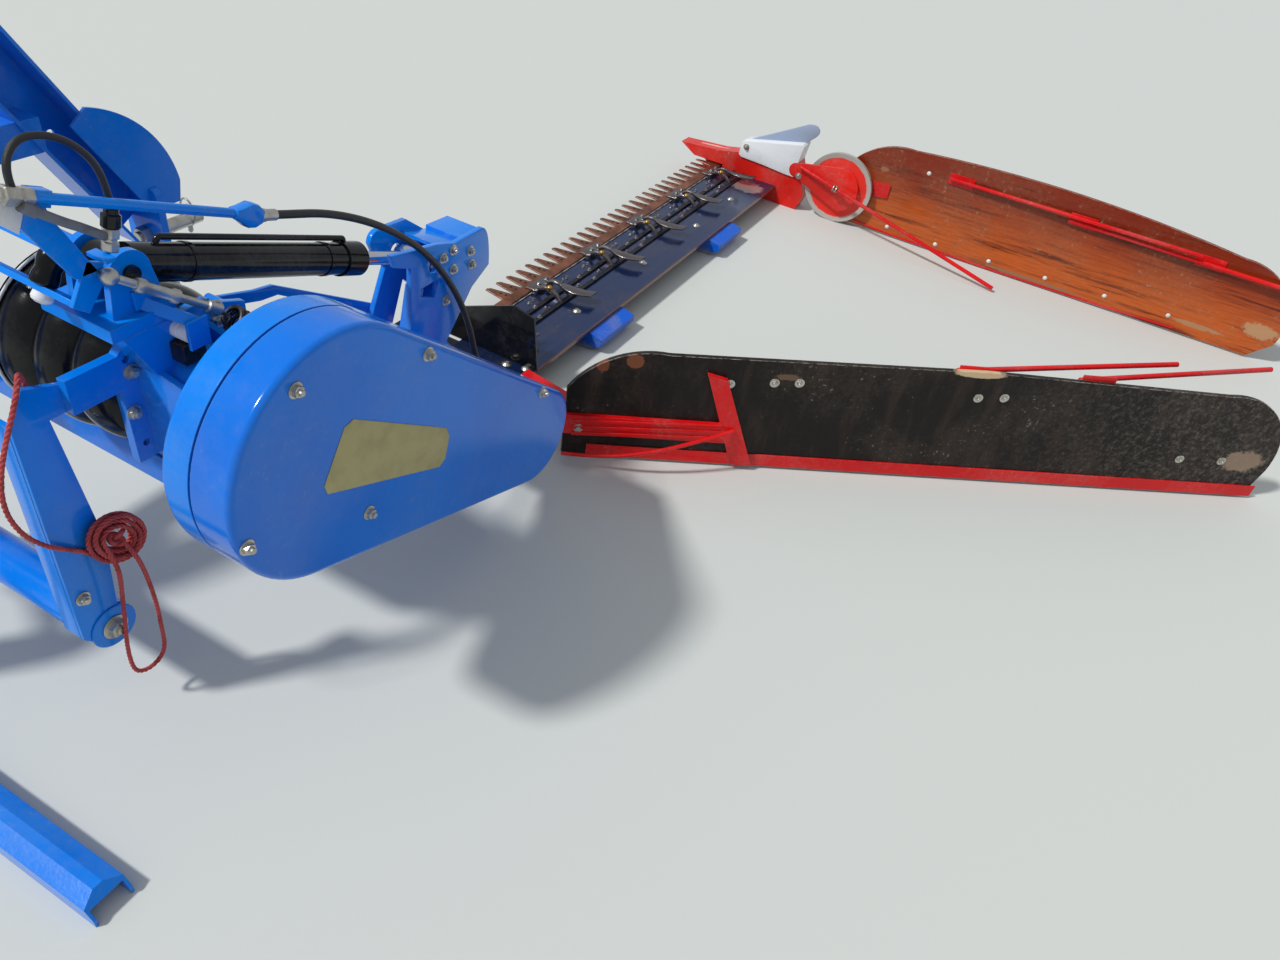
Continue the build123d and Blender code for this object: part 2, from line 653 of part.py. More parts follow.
# Bar bracket: two profile plates round the small end's tube, joined by webs
plate_faces = {
    "bracket_rear_plate": CYL_X - CLEVIS_GAP / 2 - CLEVIS_T,
    "bracket_front_plate": CYL_X + CLEVIS_GAP / 2,
}
for plate_name, plate_x in plate_faces.items():
    with BuildPart() as bracket_plate:
        with BuildSketch(Plane.YZ.offset(plate_x)):
            with BuildLine():
                Polyline(
                    (SMALL_Y + 70, SMALL_Z + 20),
                    (CYL_Y1 + 72, CYL_Z1 - 60),
                    (CYL_Y1 + 58, CYL_Z1 + 44),
                    (CYL_Y1 + 20, CYL_Z1 + 66),
                    (CYL_Y1 - 130, CYL_Z1 + 42),
                    (CYL_Y1 - 190, CYL_Z1 + 10),
                )
                ThreePointArc(
                    (CYL_Y1 - 190, CYL_Z1 + 10), (CYL_Y1 - 246, CYL_Z1 - 50), (CYL_Y1 - 262, CYL_Z1 - 128)
                )
                Polyline(
                    (CYL_Y1 - 262, CYL_Z1 - 128),
                    (BAR_IN - 60, BAR_TOP + 70),
                    (BAR_IN - 110, BAR_TOP),
                    (BAR_IN + 60, BAR_TOP),
                    (SMALL_Y - 60, SMALL_Z - 84),
                    (SMALL_Y, SMALL_Z - 84),
                    (SMALL_Y + 70, SMALL_Z - 20),
                    (SMALL_Y + 70, SMALL_Z + 20),
                )
            make_face()
            with Locations((SMALL_Y, SMALL_Z)):
                Circle(TUBE_R + RUN, mode=Mode.SUBTRACT)
            with Locations((CYL_Y1, CYL_Z1)):
                Circle(LIFT_PIN_D / 2 + 4, mode=Mode.SUBTRACT)
            # Long slot beside the clevis leg
            with Locations((CYL_Y1 - 66, CYL_Z1 - 150)):
                SlotCenterToCenter(90, 34, rotation=80, mode=Mode.SUBTRACT)
        extrude(amount=CLEVIS_T)
    pieces[plate_name] = bracket_plate

web_back = CYL_X - CLEVIS_GAP / 2
with BuildPart() as bracket_webs:
    for y, z, width, height in (
        (CYL_Y1 - 74, CYL_Z1 + 42, 116, 8),
        (CYL_Y1 - 175, CYL_Z1 - 120, 10, 200),
        (BAR_IN - 20, BAR_TOP + 6, 150, 12),
    ):
        with Locations((CYL_X, y, z)):
            Box(CLEVIS_GAP, width, height)
pieces["bracket_webs"] = bracket_webs

# Bar plate with two bolt rails
with BuildPart() as bar_plate:
    with Locations(((BAR_BACK + BAR_FRONT) / 2, (BAR_IN + BAR_OUT) / 2, BAR_TOP - BAR_T / 2)):
        Box(BAR_FRONT - BAR_BACK, BAR_IN - BAR_OUT, BAR_T)
pieces["bar_plate"] = bar_plate

with BuildPart() as bar_rails:
    for rail_x in RAIL_X:
        with Locations((rail_x, (KNIFE_IN_Y + BAR_OUT) / 2, BAR_TOP + RAIL_T / 2)):
            Box(RAIL_W, KNIFE_IN_Y - BAR_OUT, RAIL_T)
pieces["bar_rails"] = bar_rails

# Two knives: a back strip with a row of bevelled teeth each
knife_low = BAR_TOP + REST_GAP
knife_layers = {"lower_knife": knife_low, "upper_knife": knife_low + KNIFE_T + REST_GAP}
knife_out = TOOTH_FIRST_Y - (TEETH - 1) * TOOTH_PITCH - TOOTH_PITCH / 2
for knife_name, knife_z in knife_layers.items():
    shift = TOOTH_PITCH / 8 if knife_name == "upper_knife" else -TOOTH_PITCH / 8
    with BuildPart() as knife:
        with BuildSketch(Plane.XY.offset(knife_z)):
            with BuildLine():
                outline = [(KNIFE_BACK_X, knife_out + shift), (KNIFE_BACK_X, KNIFE_IN_Y + shift)]
                outline.append((TOOTH_BASE_X, KNIFE_IN_Y + shift))
                for tooth in range(TEETH):
                    tooth_y = TOOTH_FIRST_Y - tooth * TOOTH_PITCH + shift
                    outline.append((TOOTH_BASE_X, tooth_y + TOOTH_BASE_W / 2))
                    outline.append((TOOTH_TIP_X, tooth_y + TOOTH_TIP_W / 2))
                    outline.append((TOOTH_TIP_X, tooth_y - TOOTH_TIP_W / 2))
                    outline.append((TOOTH_BASE_X, tooth_y - TOOTH_BASE_W / 2))
                outline.append((TOOTH_BASE_X, knife_out + shift))
                Polyline(*outline, close=True)
            make_face()
        extrude(amount=KNIFE_T)
    pieces[knife_name] = knife

# Holders: foot on the bar, arm over the knives, bent tip behind
knife_top = knife_low + 2 * KNIFE_T + REST_GAP
with BuildPart() as knife_holders:
    for holder in range(HOLDERS):
        holder_y = HOLDER_FIRST_Y - holder * HOLDER_PITCH
        with BuildSketch(Plane.XZ.offset(-holder_y - 15)):
            with BuildLine():
                Polyline(
                    (-118, BAR_TOP),
                    (-30, BAR_TOP),
                    (-24, knife_top + REST_GAP),
                    (30, knife_top + REST_GAP),
                    (38, knife_top + 7),
                    (20, knife_top + 15),
                    (-40, knife_top + 22),
                    (-70, BAR_TOP + 18),
                    (-118, BAR_TOP + 12),
                    close=True,
                )
            make_face()
        extrude(amount=30)
        with Locations((-75, holder_y, BAR_TOP + 5)):
            Box(44, 92, 10)
    for rail_x in RAIL_X:
        with Locations((rail_x, (KNIFE_IN_Y + BAR_OUT) / 2, BAR_TOP + RAIL_T / 2)):
            Box(RAIL_W, KNIFE_IN_Y - BAR_OUT, RAIL_T, mode=Mode.SUBTRACT)
pieces["knife_holders"] = knife_holders

# Round-nosed skids under the bar
with BuildPart() as bar_skids:
    for skid_y in SKID_Y:
        with BuildSketch(Plane.XZ.offset(-skid_y - SKID_W / 2)):
            with BuildLine():
                Polyline((SKID_BACK, GROUND + 26), (SKID_BACK, BAR_TOP - BAR_T - 10), (BAR_BACK, BAR_TOP - BAR_T))
                Polyline((BAR_BACK, BAR_TOP - BAR_T), (BAR_FRONT - 20, BAR_TOP - BAR_T), (BAR_FRONT - 20, GROUND + 30))
                Polyline((BAR_FRONT - 20, GROUND + 30), (BAR_FRONT - 70, GROUND), (SKID_BACK + 40, GROUND))
                Line((SKID_BACK + 40, GROUND), (SKID_BACK, GROUND + 26))
            make_face()
        extrude(amount=SKID_W)
pieces["bar_skids"] = bar_skids

# Inner shoe with its divider
with BuildPart() as inner_shoe:
    with BuildSketch(Plane.XZ.offset(-DIVIDER_Y - 6)):
        with BuildLine():
            Polyline((BAR_BACK - 30, BAR_TOP - BAR_T), (BAR_BACK - 30, GROUND + 22), (BAR_BACK, GROUND), (60, GROUND))
            Polyline((60, GROUND), (170, GROUND + 60), (178, GROUND + 78), (60, BAR_TOP - BAR_T))
            Line((60, BAR_TOP - BAR_T), (BAR_BACK - 30, BAR_TOP - BAR_T))
        make_face()
    extrude(amount=-INNER_SHOE_W)
pieces["inner_shoe"] = inner_shoe

with BuildPart() as inner_divider:
    with BuildSketch(Plane.XZ.offset(-DIVIDER_Y)):
        with BuildLine():
            Polyline((-235, BAR_TOP), (-215, BAR_TOP + 150), (-150, BAR_TOP + 165), (20, BAR_TOP + 96), (150, BAR_TOP + 12))
            Polyline((150, BAR_TOP + 12), (60, BAR_TOP + 0.0), (-235, BAR_TOP))
        make_face()
    extrude(amount=-6)
pieces["inner_divider"] = inner_divider

# Outer shoe: long red point, body and the arm of its wheel
with BuildPart() as outer_shoe:
    with BuildSketch(Plane.XZ.offset(-SHOE_Y - SHOE_W / 2)):
        with BuildLine():
            Polyline(
                (195, GROUND + 118),
                (60, GROUND + 40),
                (-40, GROUND),
                (-330, GROUND),
                (-350, GROUND + 60),
                (-300, GROUND + 190),
                (-120, GROUND + 160),
                (20, GROUND + 132),
                close=True,
            )
        make_face()
    extrude(amount=SHOE_W)
    pocket_front = TOOTH_TIP_X + 90
    with Locations(((KNIFE_BACK_X - 8 + pocket_front) / 2, BAR_OUT - SHOE_POCKET / 2, knife_top - KNIFE_T)):
        Box(pocket_front - KNIFE_BACK_X + 8, SHOE_POCKET, 2 * KNIFE_T + 14, mode=Mode.SUBTRACT)
pieces["outer_shoe"] = outer_shoe

shoe_in_y = SHOE_Y + SHOE_W / 2
with BuildPart() as shoe_cover:
    with BuildSketch(Plane.XZ.offset(-SHOE_Y - SHOE_W / 2 - 3)):
        with BuildLine():
            Polyline(
                (-60, GROUND + 148),
                (-60, GROUND + 196),
                (-270, GROUND + 262),
                (-300, GROUND + 190),
                (-120, GROUND + 160),
                close=True,
            )
        make_face()
    extrude(amount=SHOE_W + 6)
pieces["shoe_cover"] = shoe_cover

# Wheel arm with the axle, and the wheel that turns on it
axle_in = WHEEL_Y + WHEEL_W / 2 + 14
with BuildPart() as wheel_arm:
    with BuildSketch(Plane.XZ.offset(-(SHOE_Y + SHOE_W / 2) - 0)):
        with BuildLine():
            Polyline(
                (-300, GROUND + 190),
                (-322, GROUND + 60),
                (WHEEL_X - 20, GROUND + WHEEL_R - 34),
                (WHEEL_X - 40, GROUND + WHEEL_R + 6),
                (WHEEL_X + 10, GROUND + WHEEL_R + 40),
                close=True,
            )
        make_face()
    extrude(amount=-8)
    with BuildSketch(Plane.XZ.offset(-(SHOE_Y + SHOE_W / 2))):
        with Locations((WHEEL_X, GROUND + WHEEL_R)):
            Circle(AXLE_D / 2)
    extrude(amount=SHOE_Y + SHOE_W / 2 - (WHEEL_Y - WHEEL_W / 2 - 6))
pieces["wheel_arm"] = wheel_arm

wheel_z = GROUND + WHEEL_R
with BuildPart() as outer_wheel:
    with BuildSketch(Plane(origin=(WHEEL_X, WHEEL_Y, wheel_z), x_dir=(1, 0, 0), z_dir=(0, 0, 1))):
        with BuildLine():
            half = WHEEL_W / 2
            Polyline(
                (AXLE_D / 2 + RUN, -half),
                (40, -half),
                (WHEEL_R - 22, -half + 8),
                (WHEEL_R, -half + 4),
                (WHEEL_R, half - 4),
                (WHEEL_R - 22, half - 8),
                (40, half),
                (AXLE_D / 2 + RUN, half),
                close=True,
            )
        make_face()
    revolve(axis=Axis((WHEEL_X, WHEEL_Y, wheel_z), (0, 1, 0)))
pieces["outer_wheel"] = outer_wheel

# Outer swath board, along the travel, and its rods
with BuildPart() as outer_board:
    with BuildSketch(Plane.XZ.offset(-OUTER_BOARD_Y)):
        with BuildLine():
            front = OUTER_BOARD_FRONT
            back = OUTER_BOARD_FRONT - OUTER_BOARD_L
            top = GROUND + OUTER_BOARD_H
            Line((front, GROUND + 6), (front, GROUND + 200))
            ThreePointArc((front, GROUND + 200), (front - 70, top - 62), (front - 240, top - 10))
            Spline((front - 240, top - 10), (front - 760, top + 12), (back + 210, top - 30))
            ThreePointArc((back + 210, top - 30), (back + 24, top - 130), (back, GROUND + 70))
            Polyline((back, GROUND + 70), (back + 60, GROUND + 6), (front, GROUND + 6))
        make_face()
    extrude(amount=-BOARD_T)
pieces["outer_board"] = outer_board

# Inner swath board, turned outward to the rear
inner_plane = Plane(
    origin=(INNER_BOARD_X, INNER_BOARD_Y, GROUND),
    x_dir=(-cos(radians(INNER_BOARD_TURN)), -sin(radians(INNER_BOARD_TURN)), 0),
    z_dir=(-sin(radians(INNER_BOARD_TURN)), cos(radians(INNER_BOARD_TURN)), 0),
)
with BuildPart() as inner_board:
    with BuildSketch(inner_plane.offset(-BOARD_T)):
        with BuildLine():
            length = INNER_BOARD_L
            height = INNER_BOARD_H
            Polyline((0, 8), (0, 200))
            ThreePointArc((0, 200), (80, height - 45), (230, height - 14))
            Line((230, height - 14), (1000, height + 6))
            Line((1000, height + 6), (length - 230, height - 8))
            ThreePointArc((length - 230, height - 8), (length - 40, height - 90), (length, height - 230))
            Polyline((length, height - 230), (length - 20, 8), (0, 8))
        make_face()
    extrude(amount=BOARD_T)
pieces["inner_board"] = inner_board

with BuildPart() as inner_board_iron:
    # Bottom strip
    with BuildSketch(inner_plane):
        with Locations(((INNER_BOARD_L + 60) / 2, 8 + STRIP_H / 2)):
            Rectangle(INNER_BOARD_L - 60, STRIP_H)
    extrude(amount=STRIP_T)
    # Ribbed channel along the board
    with BuildSketch(inner_plane):
        with Locations((210, 105)):
            Rectangle(440, 54)
    extrude(amount=12)
    # Inclined plate
    with BuildSketch(inner_plane):
        with BuildLine():
            Polyline((322, 274), (372, 262), (478, 16), (424, 16), close=True)
        make_face()
    extrude(amount=16)
pieces["inner_board_iron"] = inner_board_iron

# Carrier of the inner board on the bracket's rear plate
carrier_front = CYL_X - CLEVIS_GAP / 2 - CLEVIS_T
turn_cos = cos(radians(INNER_BOARD_TURN))
turn_sin = sin(radians(INNER_BOARD_TURN))
board_back = [
    (INNER_BOARD_X - u * turn_cos + BOARD_T * turn_sin, INNER_BOARD_Y - u * turn_sin - BOARD_T * turn_cos)
    for u in (10, 110)
]
with BuildPart() as inner_board_carrier:
    with BuildSketch(Plane.XY.offset(GROUND + 90)):
        with BuildLine():
            Polyline((carrier_front, BAR_IN - 10), (carrier_front, BAR_IN - 80), board_back[1], board_back[0], close=True)
        make_face()
    extrude(amount=30)
pieces["inner_board_carrier"] = inner_board_carrier

# Strap from the outer shoe to its board
with BuildPart() as outer_board_strap:
    with BuildSketch(Plane.XZ.offset(-OUTER_BOARD_Y - BOARD_T)):
        with BuildLine():
            Polyline(
                (-349, GROUND + 100),
                (-349, GROUND + 170),
                (OUTER_BOARD_FRONT - 190, GROUND + 190),
                (OUTER_BOARD_FRONT - 190, GROUND + 140),
                close=True,
            )
        make_face()
    extrude(amount=-6)
pieces["outer_board_strap"] = outer_board_strap

for label, piece in pieces.items():
    piece.part.label = label
    export_step(piece.part, f"parts/{label}.step")
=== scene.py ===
import bpy
import bmesh
from math import cos, pi, radians, sin
from mathutils import Matrix, Vector
from mathutils.bvhtree import BVHTree


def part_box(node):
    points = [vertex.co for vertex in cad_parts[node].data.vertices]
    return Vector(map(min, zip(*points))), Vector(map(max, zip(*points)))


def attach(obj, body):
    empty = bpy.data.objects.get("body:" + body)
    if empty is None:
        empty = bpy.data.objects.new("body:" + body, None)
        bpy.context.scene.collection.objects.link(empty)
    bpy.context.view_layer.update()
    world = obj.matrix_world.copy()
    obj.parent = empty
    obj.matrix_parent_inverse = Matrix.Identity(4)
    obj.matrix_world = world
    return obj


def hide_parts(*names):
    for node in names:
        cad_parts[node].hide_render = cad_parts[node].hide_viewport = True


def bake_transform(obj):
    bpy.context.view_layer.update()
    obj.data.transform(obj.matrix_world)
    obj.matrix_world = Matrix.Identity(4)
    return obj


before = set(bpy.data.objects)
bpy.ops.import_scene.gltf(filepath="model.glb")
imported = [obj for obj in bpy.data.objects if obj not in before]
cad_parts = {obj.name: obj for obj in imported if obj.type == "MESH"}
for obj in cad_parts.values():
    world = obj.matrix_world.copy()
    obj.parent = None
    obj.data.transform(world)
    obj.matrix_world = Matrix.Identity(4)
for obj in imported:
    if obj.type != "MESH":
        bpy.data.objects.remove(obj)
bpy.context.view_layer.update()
GROUND = -0.570
X, Y, Z = (Vector(axis) for axis in ((1, 0, 0), (0, 1, 0), (0, 0, 1)))


# An object of the scene from its data
def placed(name, data):
    thing = bpy.data.objects.new(name, data)
    bpy.context.collection.objects.link(thing)
    return thing


# Camera, fitted to the photograph's view of the bar and the belt cover
cam_data = bpy.data.cameras.new("camera")
cam_data.sensor_width = 36.0
cam_data.lens = 26.16
cam_data.clip_end = 60
camera = placed("camera", cam_data)
right = Vector((-0.8696, -0.4754, 0.1333))
up = Vector((0.3976, -0.5140, 0.7601))
forward = Vector((0.2928, -0.7140, -0.6360))
turn = Matrix((right, up, -forward)).transposed().to_4x4()
camera.matrix_world = Matrix.Translation((-1.30, 0.76, 0.871)) @ turn
bpy.context.scene.camera = camera
bpy.context.scene.view_settings.view_transform = "Standard"


# A colour from its screen values, 0 to 255
def tone(red, green, blue):
    linear = [(v / 255 / 12.92) if v < 10 else ((v / 255 + 0.055) / 1.055) ** 2.4 for v in (red, green, blue)]
    return (*linear, 1)


# Shader groups that several finishes share


def new_group(name, inputs, outputs):
    tree = bpy.data.node_groups.new(name, "ShaderNodeTree")
    for title, kind, value in inputs:
        socket = tree.interface.new_socket(title, in_out="INPUT", socket_type="NodeSocket" + kind)
        if value is not None:
            socket.default_value = value
    for title, kind in outputs:
        tree.interface.new_socket(title, in_out="OUTPUT", socket_type="NodeSocket" + kind)
    return tree, tree.nodes.new("NodeGroupInput").outputs, tree.nodes.new("NodeGroupOutput").inputs


def put(tree, value, socket):
    if isinstance(value, bpy.types.NodeSocket):
        tree.links.new(value, socket)
    else:
        socket.default_value = value


# A new node with its settings and its inputs, each linked or set. Gives its outputs
def add(tree, kind, values, **settings):
    node = tree.nodes.new(kind)
    for title, setting in settings.items():
        setattr(node, title, setting)
    for socket, value in values.items():
        put(tree, value, node.inputs[socket])
    return node.outputs


def calc(tree, operation, *values):
    return add(tree, "ShaderNodeMath", dict(enumerate(values)), operation=operation)[0]


def times(tree, first, second):
    return calc(tree, "MULTIPLY", first, second)


def plus(tree, first, second):
    return calc(tree, "ADD", first, second)


def vector_calc(tree, operation, *values, output="Vector"):
    return add(tree, "ShaderNodeVectorMath", dict(enumerate(values)), operation=operation)[output]


def noise(tree, vector, scale, detail=4.0, rough=0.55):
    inputs = {"Vector": vector, "Scale": scale, "Detail": detail, "Roughness": rough}
    return add(tree, "ShaderNodeTexNoise", inputs)["Fac"]


def ramp(tree, value, low, high, to_low=0.0, to_high=1.0):
    return add(tree, "ShaderNodeMapRange", {"Value": value, "From Min": low, "From Max": high, "To Min": to_low,
                                            "To Max": to_high}, interpolation_type="SMOOTHSTEP")["Result"]


def xyz(tree, vector):
    return add(tree, "ShaderNodeSeparateXYZ", {0: vector})


# Mix of two colours by a mask
def blended(tree, mask, first, second):
    return add(tree, "ShaderNodeMix", {"Factor": mask, 6: first, 7: second}, data_type="RGBA")[2]


# A shared group in a tree, with its vector linked and its named values set
def use_group(tree, group, vector, values):
    return add(tree, "ShaderNodeGroup", {"Vector": vector, **values}, node_tree=group)


# Dust film, small chips and the skin's ripple
weathering, told, gives = new_group(
    "weathering",
    [("Vector", "Vector", None), ("Scale", "Float", 6.0), ("Dust", "Float", 0.3), ("Chips", "Float", 0.2)],
    [("Dust", "Float"), ("Chips", "Float"), ("Ripple", "Float")],
)
cloud = noise(weathering, told["Vector"], told["Scale"], 6.0)
fine = noise(weathering, told["Vector"], times(weathering, told["Scale"], 14.0), 5.0, 0.7)
mottled = ramp(weathering, times(weathering, cloud, plus(weathering, fine, 0.5)), 0.42, 0.72)
put(weathering, times(weathering, mottled, told["Dust"]), gives["Dust"])
spots = ramp(weathering, plus(weathering, fine, times(weathering, cloud, 0.35)), 0.84, 0.88)
put(weathering, times(weathering, spots, told["Chips"]), gives["Chips"])
skin_ripple = noise(weathering, told["Vector"], times(weathering, told["Scale"], 30.0), 2.0)
put(weathering, skin_ripple, gives["Ripple"])

# Grain that runs along one direction of the piece
grain, told, gives = new_group(
    "grain",
    [("Vector", "Vector", None), ("Stretch", "Vector", (3.0, 60.0, 60.0))],
    [("Tone", "Float"), ("Pores", "Float")],
)
stretched = vector_calc(grain, "MULTIPLY", told["Vector"], told["Stretch"])
put(grain, noise(grain, stretched, 1.0, 5.0, 0.65), gives["Tone"])
put(grain, ramp(grain, noise(grain, stretched, 4.0, 3.0, 0.8), 0.35, 0.7), gives["Pores"])

# A worn place round a point, its edge broken up
patch, told, gives = new_group(
    "worn place",
    [("Vector", "Vector", None), ("Centre", "Vector", (0, 0, 0)), ("Size", "Vector", (0.05, 0.05, 0.05)),
     ("Rough edge", "Float", 0.5)],
    [("Mask", "Float")],
)
away = vector_calc(patch, "DIVIDE", vector_calc(patch, "SUBTRACT", told["Vector"], told["Centre"]), told["Size"])
reach = vector_calc(patch, "LENGTH", away, output="Value")
broken = times(patch, noise(patch, told["Vector"], 55.0, 5.0, 0.7), told["Rough edge"])
put(patch, calc(patch, "SUBTRACT", 1.0, ramp(patch, plus(patch, reach, broken), 1.0, 1.2)), gives["Mask"])

# Twill of a woven or braided skin
weave, told, gives = new_group(
    "weave", [("Vector", "Vector", None), ("Scale", "Float", 400.0)], [("Threads", "Float")]
)
crossed = []
for slant in ((1.0, 1.0, 1.0), (1.0, -1.0, 1.0)):
    along = vector_calc(weave, "DOT_PRODUCT", told["Vector"], slant, output="Value")
    crossed.append(calc(weave, "SINE", times(weave, along, told["Scale"])))
put(weave, times(weave, times(weave, *crossed), 0.5), gives["Threads"])


# A new material with its tree, its shader and the object's own coordinates
def new_look(name):
    material = bpy.data.materials.new(name)
    material.use_nodes = True
    tree = material.node_tree
    return material, tree, tree.nodes["Principled BSDF"], tree.nodes.new("ShaderNodeTexCoord").outputs["Object"]


def relief(tree, shader, height, strength, distance, below):
    bump = add(tree, "ShaderNodeBump", {"Strength": strength, "Distance": distance, "Height": height, **below})
    put(tree, bump["Normal"], shader.inputs["Normal"])


FLAT_FACE, ROUNDED_EDGE = 0.985, 0.9
DUST_DULLS, RIPPLE_DULLS = 0.45, 0.06


# A finish: base colour, worn colour on edges and chips, dust, gloss and skin
def finish(name, base, worn, dust=(150, 145, 135), rough=0.3, metal=0.0, coat=0.0, scale=6.0,
           dusty=0.25, chips=0.3, ripple=0.0004, edge=0.0, edge_r=0.0015, shade=None, extra=None):
    material, tree, shader, place = new_look(name)
    wear = use_group(tree, weathering, place, {"Scale": scale, "Dust": dusty, "Chips": chips})
    bevel = add(tree, "ShaderNodeBevel", {"Radius": edge_r}, samples=4)["Normal"]
    colour = tone(*base)
    if shade:
        broad = ramp(tree, noise(tree, place, scale * 0.6, 3.0), 0.35, 0.65)
        colour = blended(tree, broad, tone(*base), tone(*shade))
    if extra:
        colour = extra(tree, place, colour)
    rub = wear["Chips"]
    if edge:
        flat = add(tree, "ShaderNodeNewGeometry", {})["Normal"]
        turned_by = vector_calc(tree, "DOT_PRODUCT", bevel, flat, output="Value")
        rounded = ramp(tree, turned_by, FLAT_FACE, ROUNDED_EDGE, 0.0, edge)
        broken = ramp(tree, noise(tree, place, scale * 9, 4.0, 0.7), 0.35, 0.6)
        rub = calc(tree, "MAXIMUM", rub, times(tree, rounded, broken))
    colour = blended(tree, rub, colour, tone(*worn))
    colour = blended(tree, wear["Dust"], colour, tone(*dust))
    gloss = plus(tree, times(tree, wear["Dust"], DUST_DULLS), rough)
    gloss = plus(tree, gloss, times(tree, wear["Ripple"], RIPPLE_DULLS))
    for title, value in (("Base Color", colour), ("Roughness", gloss), ("Metallic", metal), ("Coat Weight", coat),
                         ("Coat Roughness", 0.06), ("Specular IOR Level", 0.5 if metal else 0.2)):
        put(tree, value, shader.inputs[title])
    relief(tree, shader, wear["Ripple"], 0.35, ripple, {"Normal": bevel})
    return material


# Worn places on a finish, each with its centre, size, rough edge and colour
def patched(tree, place, colour, places):
    for centre, size, edge, paint in places:
        worn = use_group(tree, patch, place, {"Centre": centre, "Size": size, "Rough edge": edge})
        colour = blended(tree, worn["Mask"], colour, tone(*paint))
    return colour


def uneven(tree, value, place, fineness, amount):
    return plus(tree, value, times(tree, noise(tree, place, fineness), amount))


# Board coordinates: along the inner board and up from the ground, to a point on its near face
BOARD_START = Vector((-0.431, -0.819, GROUND))
BOARD_RUN = Vector((-0.8423, -0.5390, 0))
BOARD_NORMAL = Vector((-0.5390, 0.8423, 0))


def on_board(along, high, out=0.0):
    return BOARD_START + BOARD_RUN * along + BOARD_NORMAL * out + Vector((0, 0, high))


def film_look(tree, place, colour):
    lines = use_group(tree, grain, place, {"Stretch": (22.0, 22.0, 5.0)})
    colour = blended(tree, ramp(tree, lines["Tone"], 0.45, 0.75), colour, tone(50, 38, 32))
    far = vector_calc(tree, "DOT_PRODUCT", place, BOARD_RUN, output="Value")
    start = BOARD_START.dot(BOARD_RUN)
    rear_half = ramp(tree, far, start + 0.9, start + 1.8)
    scuffed = times(tree, rear_half, ramp(tree, noise(tree, place, 70.0, 6.0, 0.8), 0.45, 0.7))
    colour = blended(tree, times(tree, scuffed, 0.7), colour, tone(118, 108, 98))
    return patched(tree, place, colour, [
        (on_board(0.981, 0.326), (0.075, 0.075, 0.013), 0.5, (206, 178, 140)),
        (on_board(0.077, 0.272), (0.016, 0.02, 0.022), 0.5, (120, 66, 40)),
        (on_board(0.150, 0.288), (0.024, 0.024, 0.022), 0.5, (132, 74, 44)),
        (on_board(0.515, 0.276), (0.045, 0.045, 0.012), 0.8, (110, 84, 66)),
        (on_board(1.80, 0.12), (0.09, 0.09, 0.05), 0.9, (150, 128, 108)),
    ])


def varnish_look(tree, place, colour):
    lines = use_group(tree, grain, place, {"Stretch": (2.5, 40.0, 45.0)})
    high = plus(tree, xyz(tree, place)["Z"], times(tree, lines["Tone"], 0.12))
    low = ramp(tree, high, -0.22, -0.46)
    colour = blended(tree, times(tree, low, 0.85), colour, tone(206, 98, 34))
    colour = blended(tree, ramp(tree, lines["Tone"], 0.5, 0.72), colour, tone(84, 28, 14))
    colour = blended(tree, times(tree, lines["Pores"], 0.25), colour, tone(54, 16, 8))
    return patched(tree, place, colour, [
        ((-2.00, -2.746, -0.47), (0.08, 0.05, 0.04), 0.9, (186, 140, 100)),
        ((-1.82, -2.746, -0.52), (0.13, 0.05, 0.014), 0.9, (176, 128, 90)),
        ((-1.25, -2.746, -0.552), (0.25, 0.05, 0.010), 0.7, (150, 110, 78)),
        ((-0.62, -2.746, -0.33), (0.025, 0.05, 0.014), 0.9, (150, 104, 70)),
    ])


# Middle of the wheel in millimetres, and how far from it in metres the pale tyre begins
WHEEL_X, WHEEL_Z = -472, -440
TYRE_START, TYRE_FULL = 0.114, 0.119


def wheel_look(tree, place, colour):
    from_hub = vector_calc(tree, "SUBTRACT", place, (WHEEL_X * 0.001, 0, WHEEL_Z * 0.001))
    reach = vector_calc(tree, "LENGTH", vector_calc(tree, "MULTIPLY", from_hub, (1, 0, 1)), output="Value")
    tyre = ramp(tree, uneven(tree, reach, place, 60.0, 0.008), TYRE_START, TYRE_FULL)
    return blended(tree, tyre, colour, tone(176, 172, 164))


def skid_look(tree, place, colour):
    low = uneven(tree, xyz(tree, place)["Z"], place, 40.0, 0.03)
    return blended(tree, ramp(tree, low, -0.535, -0.555), colour, tone(150, 150, 150))


def plate_look(tree, place, colour):
    rear = uneven(tree, xyz(tree, place)["X"], place, 30.0, 0.008)
    colour = blended(tree, ramp(tree, rear, -0.222, -0.228), colour, tone(118, 76, 56))
    lines = use_group(tree, grain, place, {"Stretch": (90.0, 3.0, 90.0)})
    colour = blended(tree, ramp(tree, lines["Tone"], 0.5, 0.8, 0.0, 0.5), colour, tone(96, 84, 78))
    return patched(tree, place, colour, [((-0.15, -2.60, -0.5), (0.09, 0.08, 0.06), 0.8, (170, 168, 164))])


def ridge_look(tree, place, colour):
    return patched(tree, place, colour, [((0.10, -2.735, -0.43), (0.12, 0.012, 0.02), 0.5, (226, 180, 166))])


